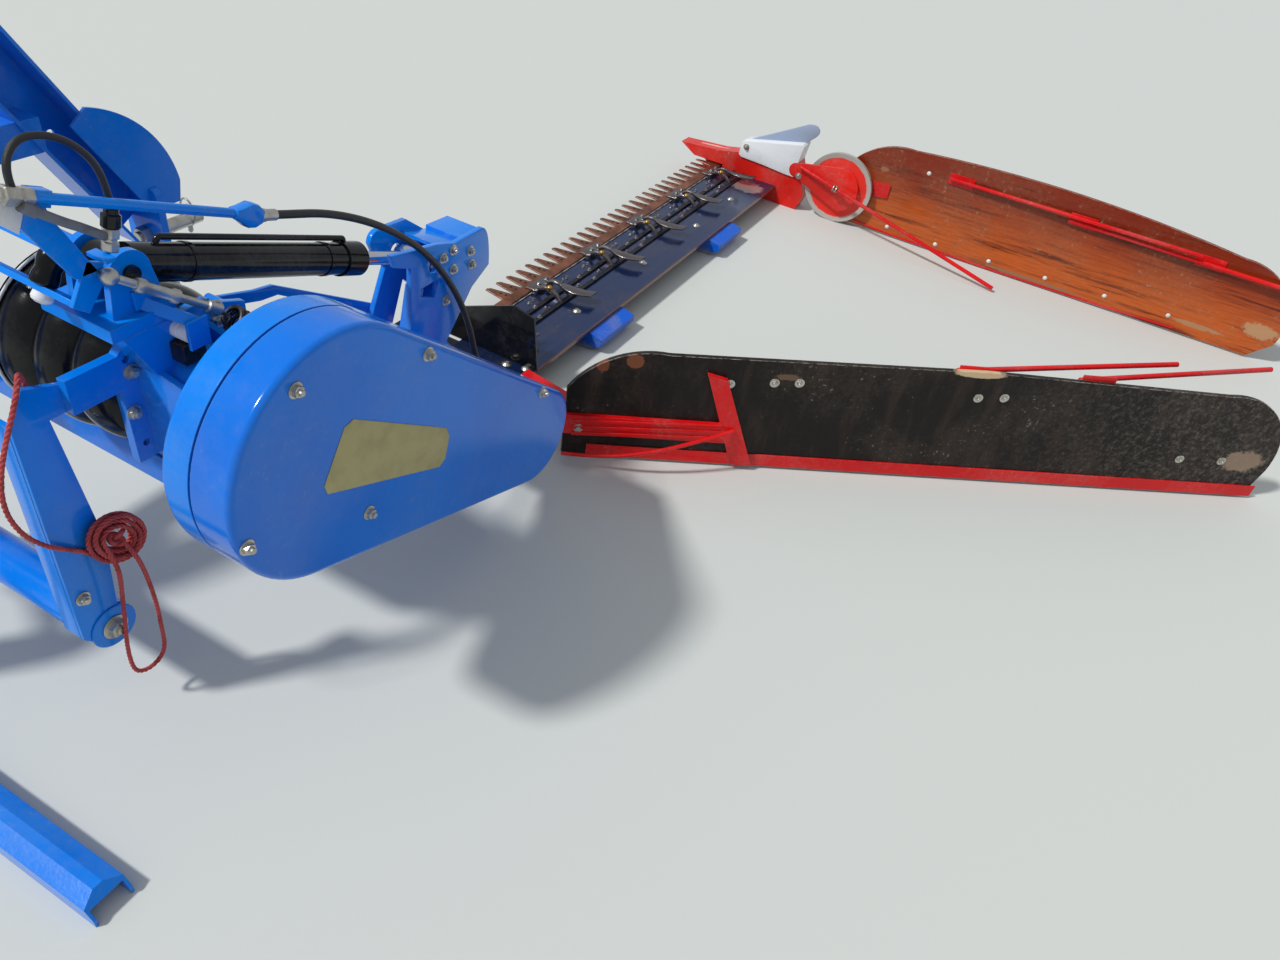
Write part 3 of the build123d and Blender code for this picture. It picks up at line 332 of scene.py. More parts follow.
blue = finish("blue enamel", (0, 132, 234), (118, 160, 206), rough=0.16, coat=0.25, scale=5, dusty=0.1,
              chips=0.25, edge=0.35, shade=(0, 118, 222))
# Belt cover: the same blue enamel as the frame, its base and second tone made darker as painted shade for the cover's
# face
cover_blue_with_painted_shade = finish("deep blue enamel", (0, 116, 222), (120, 168, 226), rough=0.12, coat=0.3, scale=4,
                    dusty=0.08, chips=0.12, edge=0.5, edge_r=0.0022, shade=(0, 104, 210))
skid_blue = finish("scuffed blue", (0, 92, 206), (150, 160, 176), coat=0.12, scale=9, dusty=0.3, chips=0.6,
                   edge=0.7, extra=skid_look)
red = finish("red enamel", (222, 18, 22), (232, 130, 118), rough=0.2, coat=0.2, dusty=0.14, edge=0.45,
             shade=(204, 12, 18))
shoe_red = finish("worn red enamel", (232, 34, 22), (236, 170, 152), rough=0.25, coat=0.15, scale=8, dusty=0.16,
                  chips=0.5, edge=0.7, shade=(206, 30, 22), extra=ridge_look)
wheel_red = finish("wheel paint", (232, 46, 34), (200, 190, 180), rough=0.28, coat=0.12, scale=8, dusty=0.2,
                   chips=0.5, edge=0.5, extra=wheel_look)
gloss_black = finish("gloss black", (8, 8, 10), (60, 60, 64), rough=0.1, coat=0.3, scale=7, dusty=0.08,
                     chips=0.1, edge=0.2)
rubber = finish("black rubber", (9, 9, 10), (34, 34, 36), rough=0.18, coat=0.1, scale=10, dusty=0.03, chips=0,
                ripple=0.0003)
seal_rubber = finish("seal rubber", (9, 9, 10), (40, 40, 40), rough=0.55, scale=20, dusty=0.1, chips=0)
chrome = finish("ground chrome", (214, 216, 220), (150, 150, 150), rough=0.06, metal=1, scale=12, dusty=0.05,
                chips=0, ripple=0.0001)
zinc = finish("zinc plate", (196, 194, 184), (120, 112, 96), dust=(122, 104, 80), rough=0.28, metal=0.9,
              scale=40, dusty=0.35, chips=0.2, edge=0.3)
bright = finish("bright shaft steel", (176, 176, 178), (110, 90, 70), dust=(96, 70, 48), metal=1, scale=20,
                dusty=0.3, chips=0.1)
plate_steel = finish("bar plate steel", (24, 48, 92), (140, 130, 122), dust=(96, 82, 70), rough=0.13, metal=0.55,
                     coat=0.25, dusty=0.22, chips=0.4, edge=0.8, extra=plate_look)
knife_steel = finish("knife steel", (126, 76, 54), (236, 214, 196), dust=(70, 44, 34), metal=0.75, scale=24,
                     dusty=0.6, edge=0.9, edge_r=0.0026, shade=(158, 98, 70))
holder_steel = finish("holder steel", (112, 106, 106), (214, 212, 208), dust=(92, 66, 50), rough=0.24,
                      metal=0.85, scale=18, dusty=0.35, edge=0.9, edge_r=0.0022)
rail_steel = finish("rail steel", (34, 40, 54), (190, 186, 180), dust=(92, 70, 56), metal=0.8, scale=16,
                    dusty=0.4, edge=0.8)
brass = finish("brass knob", (190, 148, 74), (226, 196, 130), dust=(96, 72, 44), metal=1, scale=60, dusty=0.4,
               chips=0, edge=0.6)
film_board = finish("film faced board", (22, 16, 14), (206, 196, 182), rough=0.34, coat=0.05, scale=7, dusty=0.2,
                    dust=(92, 80, 70), ripple=0.0006, edge=0.9, edge_r=0.003, extra=film_look)
varnish = finish("varnished board", (134, 42, 16), (214, 190, 158), dust=(150, 112, 84), rough=0.18, coat=0.2,
                 scale=5, dusty=0.2, edge=0.8, edge_r=0.003, extra=varnish_look)
white = finish("white plastic", (228, 230, 232), (180, 180, 178), dust=(176, 172, 160), rough=0.25, coat=0.08,
               scale=9, chips=0.1, edge=0.2)
grey_blue = finish("grey blue plastic", (150, 164, 190), (210, 214, 220), dust=(160, 158, 150), rough=0.3,
                   scale=9, chips=0.1, edge=0.4)
badge = finish("blank beige plate", (172, 164, 118), (206, 200, 166), dust=(140, 132, 100), rough=0.35,
               scale=30, dusty=0.4, edge=0.5)
pale = finish("pale plate", (226, 226, 222), (190, 190, 186), rough=0.35, scale=20, dusty=0.2, chips=0.1)
dark_rivet = finish("dark rivet", (26, 20, 18), (90, 70, 60), rough=0.4, metal=0.8, scale=60, dusty=0.2, chips=0)


def braid_look(name, base, thread, scale, rough):
    material, tree, shader, place = new_look(name)
    threads = use_group(tree, weave, place, {"Scale": scale})["Threads"]
    clean = blended(tree, ramp(tree, threads, -0.3, 0.3), tone(*base), tone(*thread))
    stain = ramp(tree, noise(tree, place, 40.0), 0.4, 0.7, 0.0, 0.4)
    put(tree, blended(tree, stain, clean, tone(*[v * 0.6 for v in base])), shader.inputs["Base Color"])
    put(tree, ramp(tree, threads, -0.5, 0.5, rough, rough + 0.15), shader.inputs["Roughness"])
    relief(tree, shader, threads, 0.5, 0.0006, {})
    return material


grey_braid = braid_look("grey braided hose", (86, 88, 94), (132, 134, 140), 2600.0, 0.4)
black_braid = braid_look("black hose", (16, 16, 17), (34, 34, 36), 2200.0, 0.32)
rope_fibre = braid_look("red rope fibre", (168, 44, 46), (206, 96, 92), 2600.0, 0.8)


def node(name):
    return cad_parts[name]


for look, names in (
    (blue, "head_frame head_gussets bearing_housing lower_brace top_brace side_strut side_tube stand_socket stand_leg"
           " stand_foot belt_case lift_arm bracket_rear_plate bracket_front_plate bracket_webs"),
    (cover_blue_with_painted_shade, "belt_cover"), (skid_blue, "bar_skids"), (zinc, "hitch_pins"), (rubber, "shaft_bellows"),
    (seal_rubber, "cover_seal"), (bright, "drive_shaft"), (gloss_black, "cylinder_barrel inner_divider"),
    (chrome, "cylinder_rod"), (plate_steel, "bar_plate"), (rail_steel, "bar_rails inner_shoe"),
    (knife_steel, "lower_knife upper_knife"), (holder_steel, "knife_holders"), (shoe_red, "outer_shoe wheel_arm"),
    (white, "shoe_cover"), (wheel_red, "outer_wheel"), (varnish, "outer_board"), (film_board, "inner_board"),
    (red, "inner_board_iron inner_board_carrier outer_board_strap"),
):
    for name in names.split():
        for slot in node(name).material_slots:
            slot.material = look

# Making of pieces. Sizes of pieces are given in millimetres


def flat_yz(x):
    return Matrix(((0, 0, 1, x), (1, 0, 0, 0), (0, 1, 0, 0), (0, 0, 0, 1)))


def flat_xz(y):
    return Matrix(((1, 0, 0, 0), (0, 0, -1, y), (0, 1, 0, 0), (0, 0, 0, 1)))


def flat_xy(z):
    return Matrix.Translation((0, 0, z))


def arc(centre, radius, start, end, steps):
    turns = [radians(start + (end - start) * i / steps) for i in range(steps + 1)]
    return [(centre[0] + radius * cos(angle), centre[1] + radius * sin(angle)) for angle in turns]


def ring(centre, radius, steps=28):
    return arc(centre, radius, 0, 360, steps)[:-1]


def oblong(low, high):
    return [(low[0], low[1]), (high[0], low[1]), (high[0], high[1]), (low[0], high[1])]


# Even bend from one point to another, over a middle one
def bend(start, middle, end, steps=8):
    line = []
    for share in (i / steps for i in range(steps + 1)):
        rest = 1 - share
        line.append(tuple(rest ** 2 * a + 2 * share * rest * (2 * b - (a + c) / 2) + share * share * c
                          for a, b, c in zip(start, middle, end)))
    return line


def bar_outline(centre, length, width, degrees):
    c, s = cos(radians(degrees)), sin(radians(degrees))
    corners = [(-length, -width), (length, -width), (length, width), (-length, width)]
    return [(centre[0] + (u * c - v * s) / 2, centre[1] + (u * s + v * c) / 2) for u, v in corners]


# Points and faces of a curve, which is then removed
def read_curve(curve):
    holder = bpy.data.objects.new(curve.name, curve)
    mesh = bpy.data.meshes.new_from_object(holder)
    points = [v.co.copy() for v in mesh.vertices]
    faces = [tuple(p.vertices) for p in mesh.polygons]
    bpy.data.objects.remove(holder)
    bpy.data.curves.remove(curve)
    bpy.data.meshes.remove(mesh)
    return points, faces


# Plate of one outline with holes, its edges rounded, raised along the plane's normal
def slab(outline, plane, depth, holes=(), edge=0.8):
    curve = bpy.data.curves.new("outline", "CURVE")
    curve.dimensions = "2D"
    curve.fill_mode = "BOTH"
    for points in (outline, *holes):
        line = curve.splines.new("POLY")
        line.points.add(len(points) - 1)
        for point, (u, v) in zip(line.points, points):
            point.co = (u, v, 0, 1)
        line.use_cyclic_u = True
    curve.extrude = depth / 2 - edge
    curve.bevel_depth = edge
    curve.bevel_resolution = 1
    curve.offset = -edge
    points, faces = read_curve(curve)
    place = plane @ Matrix.Translation((0, 0, depth / 2))
    return [place @ point for point in points], faces


def block(low, high, edge=1.0):
    return slab(oblong(low, high), flat_xy(low[2]), high[2] - low[2], edge=edge)


def sides_of(direction):
    direction = Vector(direction).normalized()
    first = direction.cross(Z if abs(direction.z) < 0.9 else X).normalized()
    return direction, first, direction.cross(first)


# Points round a middle, in the plane of two directions
def hoop(middle, first, second, radius, steps):
    turns = [2 * pi * i / steps for i in range(steps)]
    return [middle + (first * cos(angle) + second * sin(angle)) * radius for angle in turns]


# Faces between rows of points, with two ends unless the rows close on themselves
def skinned(rows, steps, closed=False):
    faces = []
    for row in range(rows if closed else rows - 1):
        after = (row + 1) % rows
        for i in range(steps):
            j = (i + 1) % steps
            faces.append((row * steps + i, row * steps + j, after * steps + j, after * steps + i))
    if not closed:
        faces += [tuple(reversed(range(steps))), tuple((rows - 1) * steps + i for i in range(steps))]
    return faces


# Turned piece: rows of distance along the axis and radius
def turned(start, direction, rows, steps=28):
    direction, first, second = sides_of(direction)
    points = [p for far, radius in rows for p in hoop(Vector(start) + direction * far, first, second, radius, steps)]
    return points, skinned(len(rows), steps)


# Straight rod with chamfered ends
def rod(start, end, radius=7):
    run = Vector(end) - Vector(start)
    return turned(start, run, [(0, radius - 1), (1, radius), (run.length - 1, radius), (run.length, radius - 1)], 16)


# Two directions across each point of a path, carried along it without twist
def carried(path, closed=False):
    frames, side = [], None
    for i, here in enumerate(path):
        ahead = path[(i + 1) % len(path)] if closed or i + 1 < len(path) else here
        behind = path[i - 1] if closed or i else here
        run = (ahead - behind).normalized()
        side = sides_of(run)[1] if side is None else (side - run * side.dot(run)).normalized()
        frames.append((here, side, run.cross(side)))
    return frames


# Round wire or hose along close points
def wire(path, radius, steps=10, closed=False):
    points = [p for here, side, other in carried(path, closed) for p in hoop(here, side, other, radius, steps)]
    return points, skinned(len(path), steps, closed)


# One piece of the object from several shapes, in metres at the origin
def piece(name, body, look, shapes, stands_for=(), smooth=32):
    mesh = bpy.data.meshes.new(name)
    work = bmesh.new()
    for points, faces in shapes:
        part = bmesh.new()
        made = [part.verts.new(p * 0.001) for p in points]
        for face in faces:
            try:
                part.faces.new([made[i] for i in face])
            except ValueError:
                pass
        bmesh.ops.remove_doubles(part, verts=part.verts, dist=1e-6)
        bmesh.ops.recalc_face_normals(part, faces=part.faces)
        piece_mesh = bpy.data.meshes.new("shape")
        part.to_mesh(piece_mesh)
        part.free()
        work.from_mesh(piece_mesh)
        bpy.data.meshes.remove(piece_mesh)
    for face in work.faces:
        face.smooth = True
    work.to_mesh(mesh)
    work.free()
    mesh.set_sharp_from_angle(angle=radians(smooth))
    mesh.materials.append(look)
    made_piece = placed(name, mesh)
    if body:
        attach(made_piece, body)
    if stands_for:
        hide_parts(*stands_for)
    return made_piece


# Top brace: seat bar, two tilted flats with their end plate, and the long rod with its eye
ROD_X = -262
rod_start = Vector((ROD_X, 169, 351))
rod_end = Vector((ROD_X, -132, 231))
rod_dir = (rod_end - rod_start).normalized()
rod_up = Vector((0, rod_dir.z, -rod_dir.y))
eye_side = [(-34, 7), (-22, 11), (-8, 18), (4, 17), (17, 9)]
eye_outline = eye_side + [(a, -b) for a, b in reversed(eye_side)]
eye_yz = [(rod_end + rod_dir * a + rod_up * b).yz for a, b in eye_outline]
flats = [slab(bar_outline(middle, 26, 8, 37), flat_yz(-235), 541) for middle in ((108, 231), (135, 186))]
brace_shapes = [
    slab([(-149, 150), (-149, 175), (-139, 185), (306, 185), (306, 150)], flat_xz(28), 12),
    *flats,
    slab([(94, 212), (94, 234), (115, 243), (148, 190), (128, 174)], flat_yz(-243), 8),
    slab([(102, 225), (134, 225), (185, 317), (175, 353), (145, 342), (145, 315)], flat_yz(-243), 8),
    slab(bar_outline((159, 346), 24, 20, 21.7), flat_yz(ROD_X - 2), 21, edge=1.5),
    turned(rod_start, rod_dir, [(0, 7), (324, 7)], 20),
    slab(eye_yz, flat_yz(ROD_X - 11), 22, edge=4),
    slab([(94, 246), (94, 252), (108, 252), (108, 246)], flat_yz(-272), 36),
    slab(oblong((42, 153), (68, 181)), flat_yz(-249.5), 6),
    slab(oblong((2, 96), (36, 140)), flat_yz(-303), 6),
]
strap_start, strap_end = Vector((-246, 56, 160)), Vector((-300, 14, 130))
strap_dir = (strap_end - strap_start).normalized()
strap_side = Vector((0, 0.6, -0.8))
strap_frame = Matrix((strap_side, strap_dir.cross(strap_side), strap_dir)).transposed().to_4x4()
strap_frame.translation = strap_start
brace_shapes += [
    slab(oblong((-9, -3), (9, 3)), strap_frame, (strap_end - strap_start).length),
    slab([(-90, 80), (-150, 58), (-150, 28), (-98, 0), (-88, 0), (-88, 48)], flat_yz(-200), 12),
    turned((-200, -138, 40), X, [(0, 9), (72, 9)], 20),
    slab([(-126, 48), (-224, 22), (-264, 16), (-512, -127), (-504, -149), (-272, -6), (-234, -2), (-132, 26)],
         flat_yz(-139), 8),
]
piece("float_bracket", "frame", blue, brace_shapes, ["top_brace"])

# Left strut with its folded lip
piece("folded_strut", "frame", blue, [
    slab([(215, -432), (255, -382), (249, 35), (220, 83), (145, 57), (143, 42), (152, 21), (197, 21), (175, -215),
          (189, -366), (176, -392), (186, -430)], flat_yz(-200), 10),
    slab([(255, -382), (249, 35), (241, 35), (247, -382)], flat_yz(-195), 40),
], ["side_strut"])

# Closed end of the side tube
TUBE_END = (-203.5, 205, -392)
piece("tube_cap", "frame", blue, [turned(TUBE_END, X, [(0, 38), (1, 39.5), (3, 39.5)], 40)])

# Bellows: three soft folds with a rolled front lip, open at the front
BELLOWS_STEPS = 72
bellows_rows = []
for i in range(61):
    share = i / 60
    bellows_rows.append((-199.5 + 209 * share, 109 + 21 * share + 13 * abs(sin(3 * pi * share)) ** 0.7))
inner_rows = [(far + 0.5, radius - 4.5) for far, radius in reversed(bellows_rows)]
lip_rows = [(10.2, 137), (11.4, 139.4), (11.9, 137), (11.4, 128)]
loop_rows = bellows_rows + lip_rows + inner_rows + [(-195, 60), (-199.5, 60)]
bellows_points, _ = turned((0, 0, 0), X, loop_rows, BELLOWS_STEPS)
piece("bellows", "frame", rubber,
      [(bellows_points, skinned(len(loop_rows), BELLOWS_STEPS, True))], ["shaft_bellows"], smooth=60)
piece("bellows_ring", "frame", pale, [wire(hoop(X * 4, Y, Z, 139.3775, BELLOWS_STEPS), 2.4, 8, True)])

# Coupler, valve, ball with its turnbuckle, roller and oil can
coupler_dir = -rod_dir
coupler_mid = rod_start + coupler_dir * 20
valve_low, valve_top = Vector((-256, 89, 252.4)), Vector((-256, 72, 312))
valve_dir = (valve_top - valve_low).normalized()
ball = Vector((-258, 100, 222))
hook = Vector((-290, -23, 135))
link_dir = (hook - ball).normalized()
link_l = (hook - ball).length
BALL_R = 12
ball_rows = [(BALL_R - BALL_R * cos(pi * i / 14), max(0.3, BALL_R * sin(pi * i / 14))) for i in range(15)]
steel_shapes = [
    turned(ball - X * BALL_R, X, ball_rows, 24),
    turned(rod_start, coupler_dir, [(0, 9), (2, 12), (14, 12), (15, 10.5), (17, 10.5), (18, 12.5), (34, 12.5), (36, 10),
                                    (40, 9)], 6),
    turned(valve_low, valve_dir, [(0, 9), (2, 11), (12, 11), (13, 8.5), (17, 8.5), (18, 11), (30, 11), (31, 9)], 6),
    turned(ball, X, [(8, 6), (14.5, 6)], 16),
    turned(ball, link_dir, [(8, 6), (34, 6), (35, 9), (40, 10.5), (46, 10.5), (50, 8), (84, 8), (88, 10.5), (96, 10.5),
                            (98, 6), (link_l - 14, 6), (link_l - 12, 9), (link_l + 8, 9)], 20),
    wire(hoop(hook, Y, Z, 10, 20), 3.2, 8, True),
    turned((-297.5, 22, 112), X, [(0, 6), (6, 6)], 6),
]
piece("fitting_steel", "frame", zinc, steel_shapes)
piece("fitting_black", "frame", gloss_black, [
    turned(valve_low + valve_dir * 31, valve_dir, [(0, 9), (1, 12), (16, 12), (18, 9), (24, 9), (25, 7), (31, 6)], 20),
    block((-290, 4, 66.4), (-217, 40, 98), 3.0),
    turned((-222, 22, 112), X, [(0, 9), (0.6, 12), (5, 12)], 20),
])
gap_dir = Vector((0, 0.602, -0.799))
roller_at = Vector((-172, 108, 231)) + gap_dir * 4.3
piece("float_roller", "frame", rubber, [
    turned(roller_at, gap_dir, [(0, 14), (1.5, 17), (5, 18), (14, 17.2), (22, 15.5), (30, 17.2), (39, 18), (42, 17),
                                (43.6, 14)])])
piece("white_cap", "frame", white, [
    turned(Vector((-172, 135, 186)) + gap_dir * 4.3, gap_dir, [(0, 13), (8, 14), (12, 12), (15, 7), (16, 0.5)], 24)])
piece("oil_can", "frame", white, [
    turned((-292, 22, 112), X, [(0, 8), (0.8, 11), (3, 13), (16, 13.5), (17, 12.6), (19, 12.6), (20, 13.5), (62, 13.5),
                                (66, 12), (70, 9)])])
piece("bare_plate", "frame", pale, [
    slab([(186, 305), (206, 325), (198, 350), (170, 336)], flat_yz(-245.2), 1.6, edge=0.3)])


# Route of a hose or rope as a smooth spline, read as close points
def route_points(name, route, fineness=12):
    curve = bpy.data.curves.new(name, "CURVE")
    curve.dimensions = "3D"
    curve.resolution_u = fineness
    line = curve.splines.new("NURBS")
    line.points.add(len(route) - 1)
    for point, place in zip(line.points, route):
        point.co = (*place, 1)
    line.order_u = 3
    line.use_endpoint_u = True
    return read_curve(curve)[0]


def metres(route):
    return [tuple(round(value / 1000, 7) for value in spot) for spot in route]


def hose(name, route, radius, steps=12):
    return wire(in_mm(route_points(name, metres(route))), radius, steps)


def in_mm(points):
    return [p * 1000 for p in points]


# Two short hoses that the fittings hold: braided one below, thin loop above
braid_start = coupler_mid + Vector((-6, 0, -9))
braid_route = [braid_start, (-268, 150, 318), (-264, 118, 296), valve_low + valve_dir * 22 + Y * 8]
piece("braided_hose", "frame", grey_braid, [
    hose("braid", braid_route, 6, 14),
    turned(braid_start, (0, -0.75, -0.66), [(0, 7.6), (20, 7.6), (21, 6.4)], 16)])
loop_route = [coupler_mid + Z * 9, (-262, 190, 392), (-258, 168, 416), (-257, 136, 414), (-256, 104, 396),
              (-256, 82, 368), (-256, 74, 338), valve_top + valve_dir * -4]
piece("loop_hose", "frame", black_braid, [hose("loop", loop_route, 4.5)])

# Float spring from the hook to a pin on the arm
pin = Vector((-338, -130, 12))
spring_dir, spring_a, spring_b = sides_of(pin - hook)
spring_l = (pin - hook).length
spring_path = [hook + spring_dir * far for far in (6, 12, 18)]
COIL_STEPS = 18
COIL_END = 15 * COIL_STEPS
for i in range(COIL_END + 1):
    angle = 2 * pi * i / COIL_STEPS
    spread = 18.5 * min(1.0, i / 9 + 0.15, (COIL_END - i) / 9 + 0.15)
    middle = hook + spring_dir * (24 + (spring_l - 50) * i / COIL_END)
    spring_path.append(middle + (spring_a * cos(angle) + spring_b * sin(angle)) * spread)
spring_path += [pin - spring_dir * far for far in (20, 16, 12)]
spring = piece("float_spring", None, rail_steel, [wire(spring_path, 3.2, 8)])
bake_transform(spring)
piece("spring_pin", "arm", zinc, [
    turned((-352, -130, 12), X, [(0, 9), (24, 9), (24.5, 12), (28, 12), (28.5, 9), (32, 8)], 20),
    turned((-408, -632, -348), X, [(0, 13), (2, 13.5), (10, 13.5), (12, 12), (16, 12)], 6)])

# Hose from the port behind the case up over the bracket to the rod's eye
bar_route = metres([(-392.4, -632, -348), (-335, -642, -352), (-292, -674, -312), (-274, -668, -256),
                    (-270, -656, -194), (-270, -620, -112), (-270, -566, -29), (-270, -500, 46), (-270, -420, 110),
                    (-270, -345, 156), (-267, -270, 190), (-264, -203, 209), (-262, -148.7, 224.3)])
bar_path = route_points("bar hose", bar_route, 14)
hose_ferrule = piece("hose_ferrule", "frame", zinc, [
    turned((-262, -146, 225.2), (-0.03, -0.962, -0.27), [(0, 8), (1, 10), (9, 10), (10, 8.6), (30, 8.6), (31, 7)], 20)])
bar_hose = piece("bar_hose", None, black_braid, [wire(in_mm(bar_path), 6.5, 16)], smooth=60)
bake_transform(bar_hose)

# Rope: knot on the strut, over its top, six turns of the hank and a hanging loop
hank = Vector((0, 166, -216))
HANK_TURN = radians(-36)
hank_wide = Vector((0, cos(HANK_TURN), sin(HANK_TURN)))
hank_high = Vector((0, -sin(HANK_TURN), cos(HANK_TURN)))
rope_spots = [(-181.6, 200, 52), (-183, 205, 84), (-190, 211, 101), (-203, 221, 101), (-211, 236, 80), (-211, 259, 40),
              (-209, 282, -8), (-208, 296, -62), (-208, 288, -118), (-208, 262, -164), (-206, 230, -196)]
for i in range(73):
    turns_done = i / 12
    layer = min(int(turns_done / 2), 2)
    within = turns_done - 2 * layer
    inward = layer + (max(0.0, within - 1.75) * 4 if layer < 2 else 0)
    level = 9.2 * within if layer % 2 == 0 else 18.4 - 9.2 * within
    angle = radians(25 - 30 * i)
    spot = hank + hank_wide * (40 - 9 * inward) * cos(angle) + hank_high * (52 - 9 * inward) * sin(angle)
    rope_spots.append((-205 - level, spot.y, spot.z))
rope_spots += [(-228, 189, -228), (-235, 190, -246), (-237, 191, -266), (-230, 191, -300), (-225, 198, -366),
               (-223, 208, -432), (-222, 209, -491), (-222, 190, -510), (-222, 164, -510), (-222, 145, -491),
               (-222, 142, -440), (-222, 139, -388), (-223, 141, -338), (-229, 147, -296), (-236, 154, -266),
               (-237, 159, -244), (-234, 163, -226), (-228, 166, -216)]
rope_route = metres(rope_spots)
rope_path = route_points("rope", rope_route, 10)

# Three strands, wound once round the rope's middle in each lay
STRAND_OUT, LAY = 0.0019, 0.026
ways = [0.0]
for a, b in zip(rope_path, rope_path[1:]):
    ways.append(ways[-1] + (b - a).length)
strands = []
for strand in range(3):
    line = []
    for (here, first, second), way in zip(carried(rope_path), ways):
        angle = 2 * pi * (way / LAY + strand / 3)
        line.append((here + (first * cos(angle) + second * sin(angle)) * STRAND_OUT) * 1000)
    strands.append(wire(line, 2.1, 7))


def knot(middle, size, thick):
    path = []
    for i in range(60):
        t = 2 * pi * i / 60
        path.append(Vector(middle) + Vector((-sin(3 * t), sin(t) + 2 * sin(2 * t), cos(t) - 2 * cos(2 * t))) * size)
    return wire(path, thick, 10, True)


rope_knots = piece("rope_knots", "frame", rope_fibre, [
    knot((-180.6, 200, 46), 2.6, 3.0), knot((-215, 166, -216), 4.6, 4.0)], smooth=60)
rope = piece("red_rope", "frame", rope_fibre, strands, smooth=60)

# Knife holders: clamp plate, two bowed arms, knob and raised tail
BAR_TOP = -505
clamp_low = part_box("upper_knife")[1][2] * 1000 + 0.3
HOLDERS, HOLDER_PITCH, HOLDER_FIRST = 6, 304.8, -1081
holder_shapes, knob_shapes = [], []
tail = ((36, 9, 9), (58, 20, 12), (86, 25, 14), (112, 18, 20), (138, 2, 34))
ARM_Z = clamp_low + 6
arm_profile = bend((0, ARM_Z), (-44, ARM_Z + 19), (-92, BAR_TOP + 5)) + [(-84, BAR_TOP + 0.3)]
arm_profile += bend((-80, BAR_TOP + 1), (-44, ARM_Z + 10), (-10, ARM_Z - 3))
foot = [(-10, BAR_TOP + 0.3), (6, BAR_TOP + 0.3), (6, clamp_low), (31, clamp_low), (31, clamp_low + 2), (24, ARM_Z),
        (-10, ARM_Z)]
for number in range(HOLDERS):
    middle = HOLDER_FIRST - number * HOLDER_PITCH
    holder_shapes.append(slab(foot, flat_xz(middle + 46), 92, edge=0.7))
    for arm_y in (middle + 33, middle - 15):
        holder_shapes.append(slab(arm_profile, flat_xz(arm_y + 6.5), 13, edge=1.5))
    left = [(-22 - back, middle - 15 + wide) for back, wide, _ in tail]
    near = [(-22 - back, middle - 15 - wide) for back, _, wide in tail]
    holder_shapes.append(slab(left + near[::-1], flat_xy(ARM_Z + 10), 6, edge=2))
    knob_shapes.append(turned((-46, middle + 33, ARM_Z + 12), Z,
                              [(0, 9), (4, 9.5), (9, 9), (12, 7), (14, 3), (14.4, 0.4)], 20))
piece("holder_irons", "bar", holder_steel, holder_shapes, ["knife_holders"])
piece("holder_knobs", "bar", brass, knob_shapes)

# Bar bracket: two profile plates with their windows, and the webs between them
PIN_Y, PIN_Z = -560, -20
HUB_Y, HUB_Z = -551, -306


def from_pin(points):
    return [(PIN_Y + y, PIN_Z + z) for y, z in points]


side_arc = bend((-710, 6), (-736, -14), (-744, -86))
shared = [(-685, -117), (-600, -210), (-700, -330), (-800, -430), (-900, -480), (-930, -504.7), (-790, -504.7),
          (-611, -390), (-551, -390), (-481, -336), (-481, -290)]
rear_outline = [(-486, -135)] + from_pin(((68, 20), (112, 38), (122, 66), (-12, 41), (-65, 25))) + side_arc + shared
front_outline = [(-476, -186)] + from_pin(((81, -123), (33, -25), (60, 10))) + bend((-488, 19), (-498, 36), (-518, 40))
front_outline += from_pin(((-33, 55), (-135, -19), (-160, -40))) + [(-744, -86)] + shared
rear_window = from_pin(((42, -34), (-12, -34), (-14, -42), (-1, -70), (42, -52)))
front_window = from_pin(((-18, -70), (22, -168), (0, -215), (-50, -195), (-60, -110)))
hub_hole, pin_hole = ring((HUB_Y, HUB_Z), 46.2, 40), ring((PIN_Y, PIN_Z), 15)
WEB_X, WEB = -241, 82
piece("bracket_plates", "bar", blue, [
    slab(rear_outline, flat_yz(-253), 12, [hub_hole, pin_hole, rear_window], 1.2),
    slab(front_outline, flat_yz(-159), 12, [hub_hole, pin_hole, front_window], 1.2),
    slab(from_pin(((-14, 38), (-14, 30), (-92, 8), (-92, 16))), flat_yz(WEB_X), WEB),
    slab(from_pin(((-92, 16), (-92, 24), (-162, 20), (-178, -64), (-170, -64), (-156, 12))), flat_yz(WEB_X), WEB),
    slab(from_pin(((-122, -92), (-40, -182), (-34, -176), (-116, -86))), flat_yz(WEB_X), WEB),
    slab(from_pin(((18, -46), (28, -46), (58, -170), (48, -170))), flat_yz(WEB_X), 38),
    slab(oblong((-920, -504.7), (-790, -493)), flat_yz(WEB_X), WEB),
], ["bracket_rear_plate", "bracket_front_plate", "bracket_webs"])

# Outer shoe's wheel arm, wing and hood
arm_line = arc((WHEEL_X, WHEEL_Z), 84, 94, 254, 24) + arc((-300, -418), 28, -100, 80, 9)
piece("wheel_arm", "bar", shoe_red, [
    slab(arm_line, flat_xz(-2690), 8, edge=1.5),
    turned((WHEEL_X, -2698, WHEEL_Z), -Y, [(0, 8), (36, 8)], 20),
], ["wheel_arm"])
piece("shoe_wing", "bar", grey_blue, [
    slab([(-58, -383), (-188, -313), (-297, -253), (-318, -249), (-334, -252), (-344, -262), (-345, -276), (-337, -290),
          (-309, -318), (-279, -338), (-187, -356)], flat_xz(-2726), 8, edge=2)])
piece("shoe_hood", "bar", white, [
    slab([(-57, -428), (-62, -378), (-70, -371), (-304, -319), (-312, -324), (-299, -414), (-296, -448), (-262, -448),
          (-164, -440), (-69, -436)], flat_xz(-2691), 71, edge=3)], ["shoe_cover"])

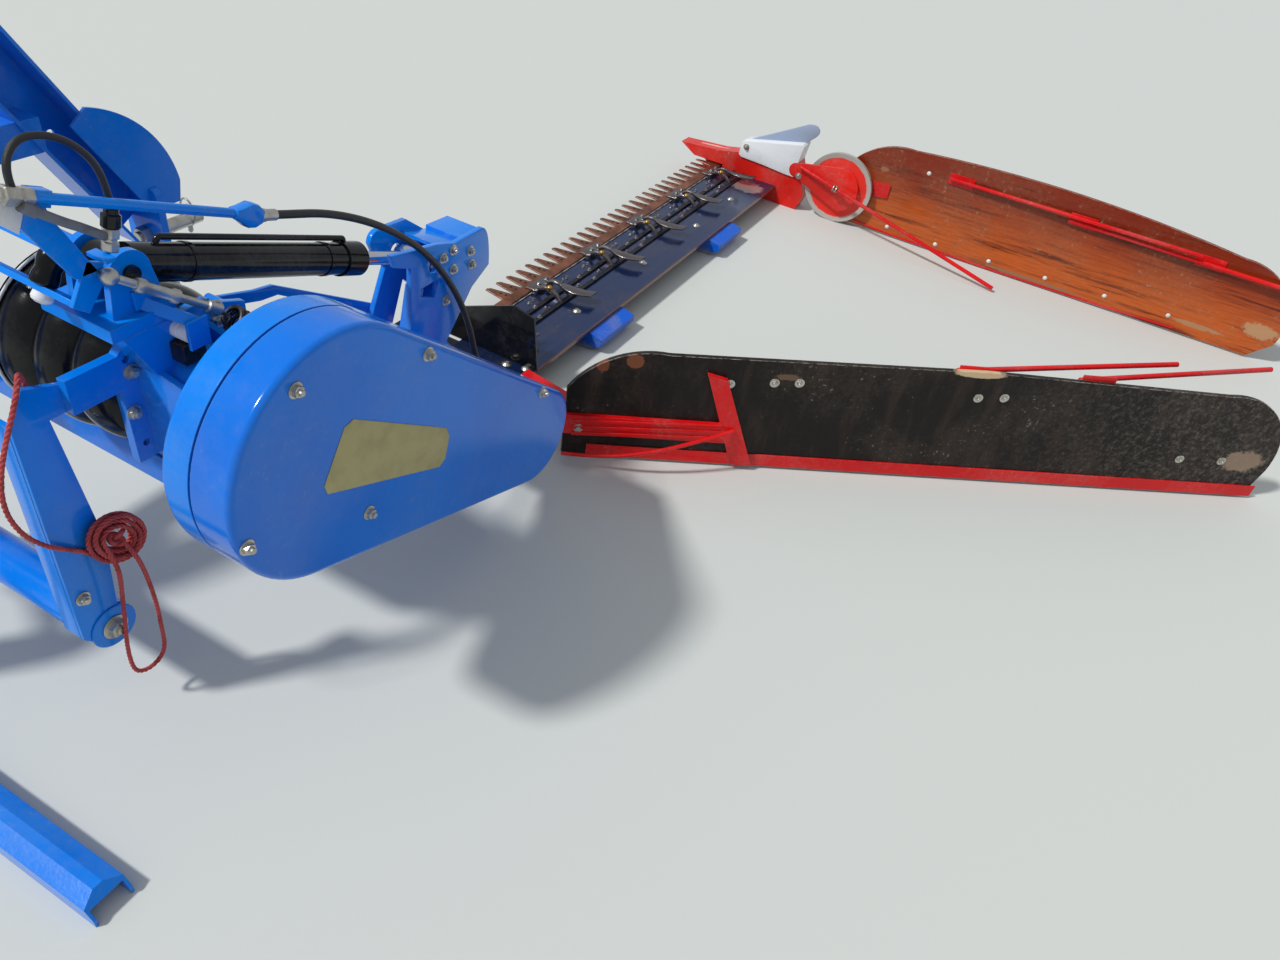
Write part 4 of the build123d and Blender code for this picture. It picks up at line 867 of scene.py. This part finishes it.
# Irons on the outer board: brackets, two long rods, the shoe's rod and the bottom strip
FACE = -2739.7
shoe_rod, shoe_rod_end = Vector((-318, -2682.7, -398)), Vector((-1150, -2566, -556))
outer_shapes = [slab(oblong((a - 46, b - 20), (a + 46, b + 20)), flat_xz(FACE + 4), 4)
                for a, b in ((-900, -289), (-1336, -296), (-1760, -300))]
outer_shapes += [rod((-862, FACE + 9, -289), (-1724, FACE + 30, -278)),
                 rod((-1290, FACE + 9, -303), (-2040, FACE + 24, -302)), rod(shoe_rod, shoe_rod_end)]
strip_line = [(-520, -545), (-700, -556), (-1100, -560), (-1500, -556), (-1760, -548)]
outer_shapes.append(slab(strip_line + [(a, b - 7) for a, b in reversed(strip_line)], flat_xz(FACE + 3), 3, edge=0.5))
piece("outer_board_irons", "bar", red, outer_shapes)
clamp_spot = shoe_rod + (shoe_rod_end - shoe_rod) * 0.19
clamp_dir, clamp_a, clamp_b = sides_of(shoe_rod_end - shoe_rod)
piece("rod_clamp", "bar", zinc, [
    wire(hoop(clamp_spot + clamp_dir * shift, clamp_a, clamp_b, 10, 24), 3, 8, True) for shift in (-6, 6)])


# Irons of the inner board: ribbed channel, curved brace rod and two rods behind
def board_frame(out):
    place = Matrix((BOARD_RUN, Z, BOARD_RUN.cross(Z))).transposed().to_4x4()
    place.translation = BOARD_START * 1000 + BOARD_NORMAL * out
    return place


RIB_START, RIB_END, RIB_RISE = 20, 416, 14
iron_shapes = [slab([(RIB_START, high - 5), (RIB_END, high - 5 + RIB_RISE), (RIB_END, high + 5 + RIB_RISE),
                     (RIB_START, high + 5)], board_frame(6), 9, edge=1.5) for high in (80, 98, 116)]
brace_route = [on_board(*spot) * 1000 for spot in ((0.0, 0.030, 0.03), (0.10, 0.044, 0.055), (0.22, 0.075, 0.062),
                                                   (0.33, 0.105, 0.045), (0.412, 0.124, 0.020))]
iron_shapes.append(hose("brace rod", brace_route, 5))
for start, end in (((0.93, 0.318, -0.021), (1.579, 0.318, -0.136)), ((1.25, 0.318, -0.021), (1.86, 0.318, -0.150))):
    iron_shapes.append(rod(on_board(*start) * 1000, on_board(*end) * 1000))
for along in (975, 1295):
    iron_shapes.append(slab(oblong((along - 45, 300), (along + 45, 338)), board_frame(-16.3), 4))
piece("inner_board_irons", "bar", red, iron_shapes)

# Blank badge on the cover, its corners cut
BADGE_CUT = 14
corners = [Vector(c) for c in ((-17, 56), (-250, -100), (-232, -170), (46, -44))]
badge_line = []
for corner, after in zip(corners, corners[1:] + corners[:1]):
    run = (after - corner).normalized()
    badge_line += [corner + run * BADGE_CUT, after - run * BADGE_CUT]
piece("blank_badge", "arm", badge, [slab(badge_line, flat_yz(-530.9), 0.8, edge=0.2)])


# Fasteners: a small tree puts one head, washer and stud on each point, along its axis
def head_tree():
    tree = bpy.data.node_groups.new("fasteners", "GeometryNodeTree")
    for title, kind in (("Points", "Geometry"), ("Sides", "Int"), ("Head radius", "Float"), ("Head height", "Float"),
                        ("Top share", "Float"), ("Washer radius", "Float"), ("Washer height", "Float"),
                        ("Stud radius", "Float"), ("Stud height", "Float"), ("Finish", "Material")):
        tree.interface.new_socket(title, in_out="INPUT", socket_type="NodeSocket" + kind)
    tree.interface.new_socket("Fasteners", in_out="OUTPUT", socket_type="NodeSocketGeometry")
    told = tree.nodes.new("NodeGroupInput").outputs
    gives = tree.nodes.new("NodeGroupOutput").inputs

    def cone(sides, top, bottom, depth, lift):
        shape = add(tree, "GeometryNodeMeshCone", {"Vertices": sides, "Radius Top": top, "Radius Bottom": bottom,
                                                   "Depth": depth})
        offset = add(tree, "ShaderNodeCombineXYZ", {"Z": lift})
        return add(tree, "GeometryNodeTransform", {"Geometry": shape["Mesh"], "Translation": offset[0]})[0]

    top = times(tree, told["Head radius"], told["Top share"])
    above = plus(tree, told["Washer height"], told["Head height"])
    join = tree.nodes.new("GeometryNodeJoinGeometry")
    for cone_of in ((24, told["Washer radius"], told["Washer radius"], told["Washer height"], 0.0),
                    (told["Sides"], top, told["Head radius"], told["Head height"], told["Washer height"]),
                    (12, told["Stud radius"], told["Stud radius"], told["Stud height"], above)):
        put(tree, cone(*cone_of), join.inputs[0])
    facing = add(tree, "GeometryNodeInputNamedAttribute", {"Name": "facing"}, data_type="FLOAT_VECTOR")
    turn_to = add(tree, "FunctionNodeAlignRotationToVector", {"Vector": facing["Attribute"]})
    spread = add(tree, "GeometryNodeInstanceOnPoints", {"Points": told["Points"], "Instance": join.outputs[0],
                                                        "Rotation": turn_to[0]})
    real = add(tree, "GeometryNodeRealizeInstances", {0: spread[0]})
    paint = add(tree, "GeometryNodeSetMaterial", {"Geometry": real[0], "Material": told["Finish"]})
    put(tree, paint[0], gives[0])
    return tree


HEADS = head_tree()
bpy.context.view_layer.update()
scanned = {}


# Where a line meets the nearest of some pieces, so that a fastener sits on it
def seat(carriers, spot, facing):
    hits = []
    for carrier in carriers:
        if carrier.name not in scanned:
            places = [carrier.matrix_world @ v.co for v in carrier.data.vertices]
            scanned[carrier.name] = BVHTree.FromPolygons(places, [p.vertices[:] for p in carrier.data.polygons])
        start = Vector(spot) * 0.001 + facing * 0.08
        hit, _, _, far = scanned[carrier.name].ray_cast(start, -facing, 0.16)
        if hit is not None:
            hits.append((far, hit))
    return min(hits, key=lambda found: found[0])[1] if hits else None


# Fasteners of one kind on given spots. Head, washer and stud are each given as radius and height
def fasteners(name, body, carriers, facing, spots, look=None, sides=6, head=(9, 7), top=0.95, washer=(12, 1.6),
              stud=(4, 3)):
    seats = [place for place in (seat(carriers, spot, facing) for spot in spots) if place is not None]
    mesh = bpy.data.meshes.new(name)
    mesh.from_pydata(seats, [], [])
    facing_of = mesh.attributes.new("facing", "FLOAT_VECTOR", "POINT")
    for value in facing_of.data:
        value.vector = facing.normalized()
    carrier = placed(name, mesh)
    modifier = carrier.modifiers.new("fasteners", "NODES")
    modifier.node_group = HEADS
    sizes = {"Sides": sides, "Top share": top, "Finish": look or zinc}
    for part, (radius, height) in (("Head", head), ("Washer", washer), ("Stud", stud)):
        sizes[part + " radius"], sizes[part + " height"] = radius * 0.001, height * 0.001
    for item in HEADS.interface.items_tree:
        if item.item_type == "SOCKET" and item.in_out == "INPUT" and item.name in sizes:
            modifier[item.identifier] = sizes[item.name]
    bpy.context.view_layer.update()
    made_mesh = bpy.data.meshes.new_from_object(carrier.evaluated_get(bpy.context.evaluated_depsgraph_get()))
    made_mesh.name = name
    bpy.data.objects.remove(carrier)
    made_piece = placed(name, made_mesh)
    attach(made_piece, body)
    return made_piece


def shown(name):
    return bpy.data.objects[name]


fasteners("cover_nuts", "arm", [node("belt_cover")], -X,
          [(-530, y, z) for y, z in ((68, 150), (-194, 75), (180, -40), (-46, -143), (-540, -184))], stud=(4.5, 5))
fasteners("flange_bolts", "frame", [node("bearing_housing")], -X,
          [(-200, y, z) for y, z in ((77, 47), (88, -19), (-80, 60))], stud=(5, 4))
fasteners("strut_bolts", "frame", [shown("folded_strut")], -X,
          [(-200, 160, 43), (-200, 236, -300)], washer=(12, 2), stud=(5, 4))
fasteners("strut_end_bolt", "frame", [shown("tube_cap")], -X, [TUBE_END], head=(16, 11), washer=(22, 2.5), stud=(8, 4))
fasteners("bracket_bolts", "bar", [shown("bracket_plates")], -X,
          [(-253, y, z) for y, z in ((-587, -13), (-619, -7), (-676, -30), (-680, -61), (-619, -49), (-594, -110),
                                     (-520, -200))], head=(8, 6), washer=(11, 1.6))
fasteners("bracket_foot_bolts", "bar", [shown("bracket_plates"), node("bar_plate")], Z,
          [(x, y, -500) for x in (-225, -175) for y in (-880, -820)], washer=(12, 2))
fasteners("plate_heads", "bar", [node("bar_plate")], Z,
          [(x, y, BAR_TOP) for x, y in ((-149, -1344), (-157, -2134), (-205, -998), (-153, -983), (-150, -1750),
                                        (-152, -2440))],
          sides=20, head=(12, 5), top=0.55, washer=(13, 0.8), stud=(3, 0.4))
rail_spots = ((-72, 0.3), (-72, 0.7), (-92, 0.5), (-52, 0.42), (-52, 0.62), (-20, 0.28), (-20, 0.36), (-20, 0.68),
              (-20, 0.76))
fasteners("rail_nuts", "bar", [node("bar_rails"), node("bar_plate")], Z,
          [(x, HOLDER_FIRST - HOLDER_PITCH * (n + share), BAR_TOP) for n in range(HOLDERS - 1)
           for x, share in rail_spots],
          holder_steel, sides=12, head=(6, 4.5), top=0.7, washer=(7.5, 0.8), stud=(2.5, 1.5))
fasteners("clamp_bolts", "bar", [shown("holder_irons")], Z,
          [(6, HOLDER_FIRST - HOLDER_PITCH * n + shift, ARM_Z) for n in range(HOLDERS) for shift in (-34, 8)],
          holder_steel, head=(7, 5), washer=(9, 1), stud=(3.5, 3))
TEETH, TOOTH_PITCH, TOOTH_FIRST = 28, 50.8, -1267
fasteners("tooth_rivets", "upper_blade", [node("upper_knife")], Z,
          [(x, TOOTH_FIRST - TOOTH_PITCH * n, -496.4) for n in range(TEETH) for x in (48, 66)],
          dark_rivet, sides=12, head=(3.6, 0.9), top=0.7, washer=(4, 0.2), stud=(1, 0.1))
fasteners("outer_board_heads", "bar", [node("outer_board")], Y,
          [(x, -2740, z) for x, z in ((-779, -297), (-692, -535), (-886, -540), (-1091, -536), (-1298, -529),
                                      (-1508, -522), (-1725, -516))],
          pale, sides=20, head=(7.5, 4), top=0.5, washer=(8, 0.4), stud=(2, 0.3))
fasteners("inner_board_heads", "bar", [node("inner_board"), node("inner_board_iron")], BOARD_NORMAL,
          [on_board(a, h) * 1000 for a, h in ((1.066, 0.264), (1.000, 0.258), (0.487, 0.258), (0.547, 0.263),
                                              (0.035, 0.096), (0.381, 0.246), (1.62, 0.115), (1.74, 0.118))],
          head=(7.5, 5), stud=(3.5, 3))
fasteners("shoe_bolts", "bar", [shown("shoe_hood"), shown("wheel_arm"), node("outer_shoe")], Y,
          [(WHEEL_X, -2690, WHEEL_Z), (-84, -2691, -392), (-316, -2690, -436)], head=(8, 6))

# Oil pipe along the cylinder and its two bands
cylinder_at, cylinder_run = Vector((-200, 60, 205)), Vector((0, -620, -225)).normalized()
cylinder_up = Vector((0, cylinder_run.z, -cylinder_run.y))
barrel_middle = cylinder_at + cylinder_run * 300
skin = seat([node("cylinder_barrel")], barrel_middle, cylinder_up)
tube_r = (skin * 1000 - barrel_middle).length
pipe_route = [cylinder_at + cylinder_run * far + cylinder_up * (tube_r + high) for far, high in
              ((70, -2), (70, 9), (84, 9), (200, 9), (330, 9), (440, 9), (452, 9), (452, -2))]
band_rows = [(0, tube_r - 1), (0.6, tube_r + 1.6), (9, tube_r + 1.6), (9.6, tube_r - 1)]
bands = [turned(cylinder_at + cylinder_run * far, cylinder_run, band_rows, 40) for far in (118, 400)]
piece("cylinder_pipe", "barrel", gloss_black, [hose("pipe", pipe_route, 5), *bands])

# Linch pins through the hitch pins
linch_shapes = []
for y in (478.5, -478.5):
    linch_shapes.append(turned((330, y, -58), -Z, [(0, 4), (2, 5.4), (58, 5.4), (62, 3)], 16))
    linch_shapes.append(wire(hoop(Vector((330, y, -74)), Z * 29, X * 20, 1, 32), 2.2, 8, True))
piece("linch_pins", "frame", zinc, linch_shapes)

# Studio: pale world, soft sun and a plain floor
world = bpy.data.worlds.new("studio")
bpy.context.scene.world = world
world.use_nodes = True
sky = world.node_tree.nodes["Background"].inputs
sky["Color"].default_value = (0.88, 0.92, 1.0, 1)
sky["Strength"].default_value = 0.5

sun_data = bpy.data.lights.new("sun", "SUN")
sun_data.energy = 2.6
sun_data.angle = 0.1
sun = placed("sun", sun_data)
sun.rotation_euler = Vector((0.42, 0.50, 0.76)).to_track_quat("Z", "Y").to_euler()

FLOOR_HALF, FLOOR_Z = 30, GROUND - 0.0005
floor_mesh = bpy.data.meshes.new("floor")
corners = [(x, y, FLOOR_Z) for x, y in oblong((-FLOOR_HALF, -FLOOR_HALF), (FLOOR_HALF, FLOOR_HALF))]
floor_mesh.from_pydata(corners, [], [(0, 1, 2, 3)])
floor = placed("floor", floor_mesh)
floor_look, _, floor_shader, _ = new_look("floor")
floor_shader.inputs["Base Color"].default_value = (0.60, 0.62, 0.58, 1)
floor_shader.inputs["Roughness"].default_value = 0.8
floor_mesh.materials.append(floor_look)
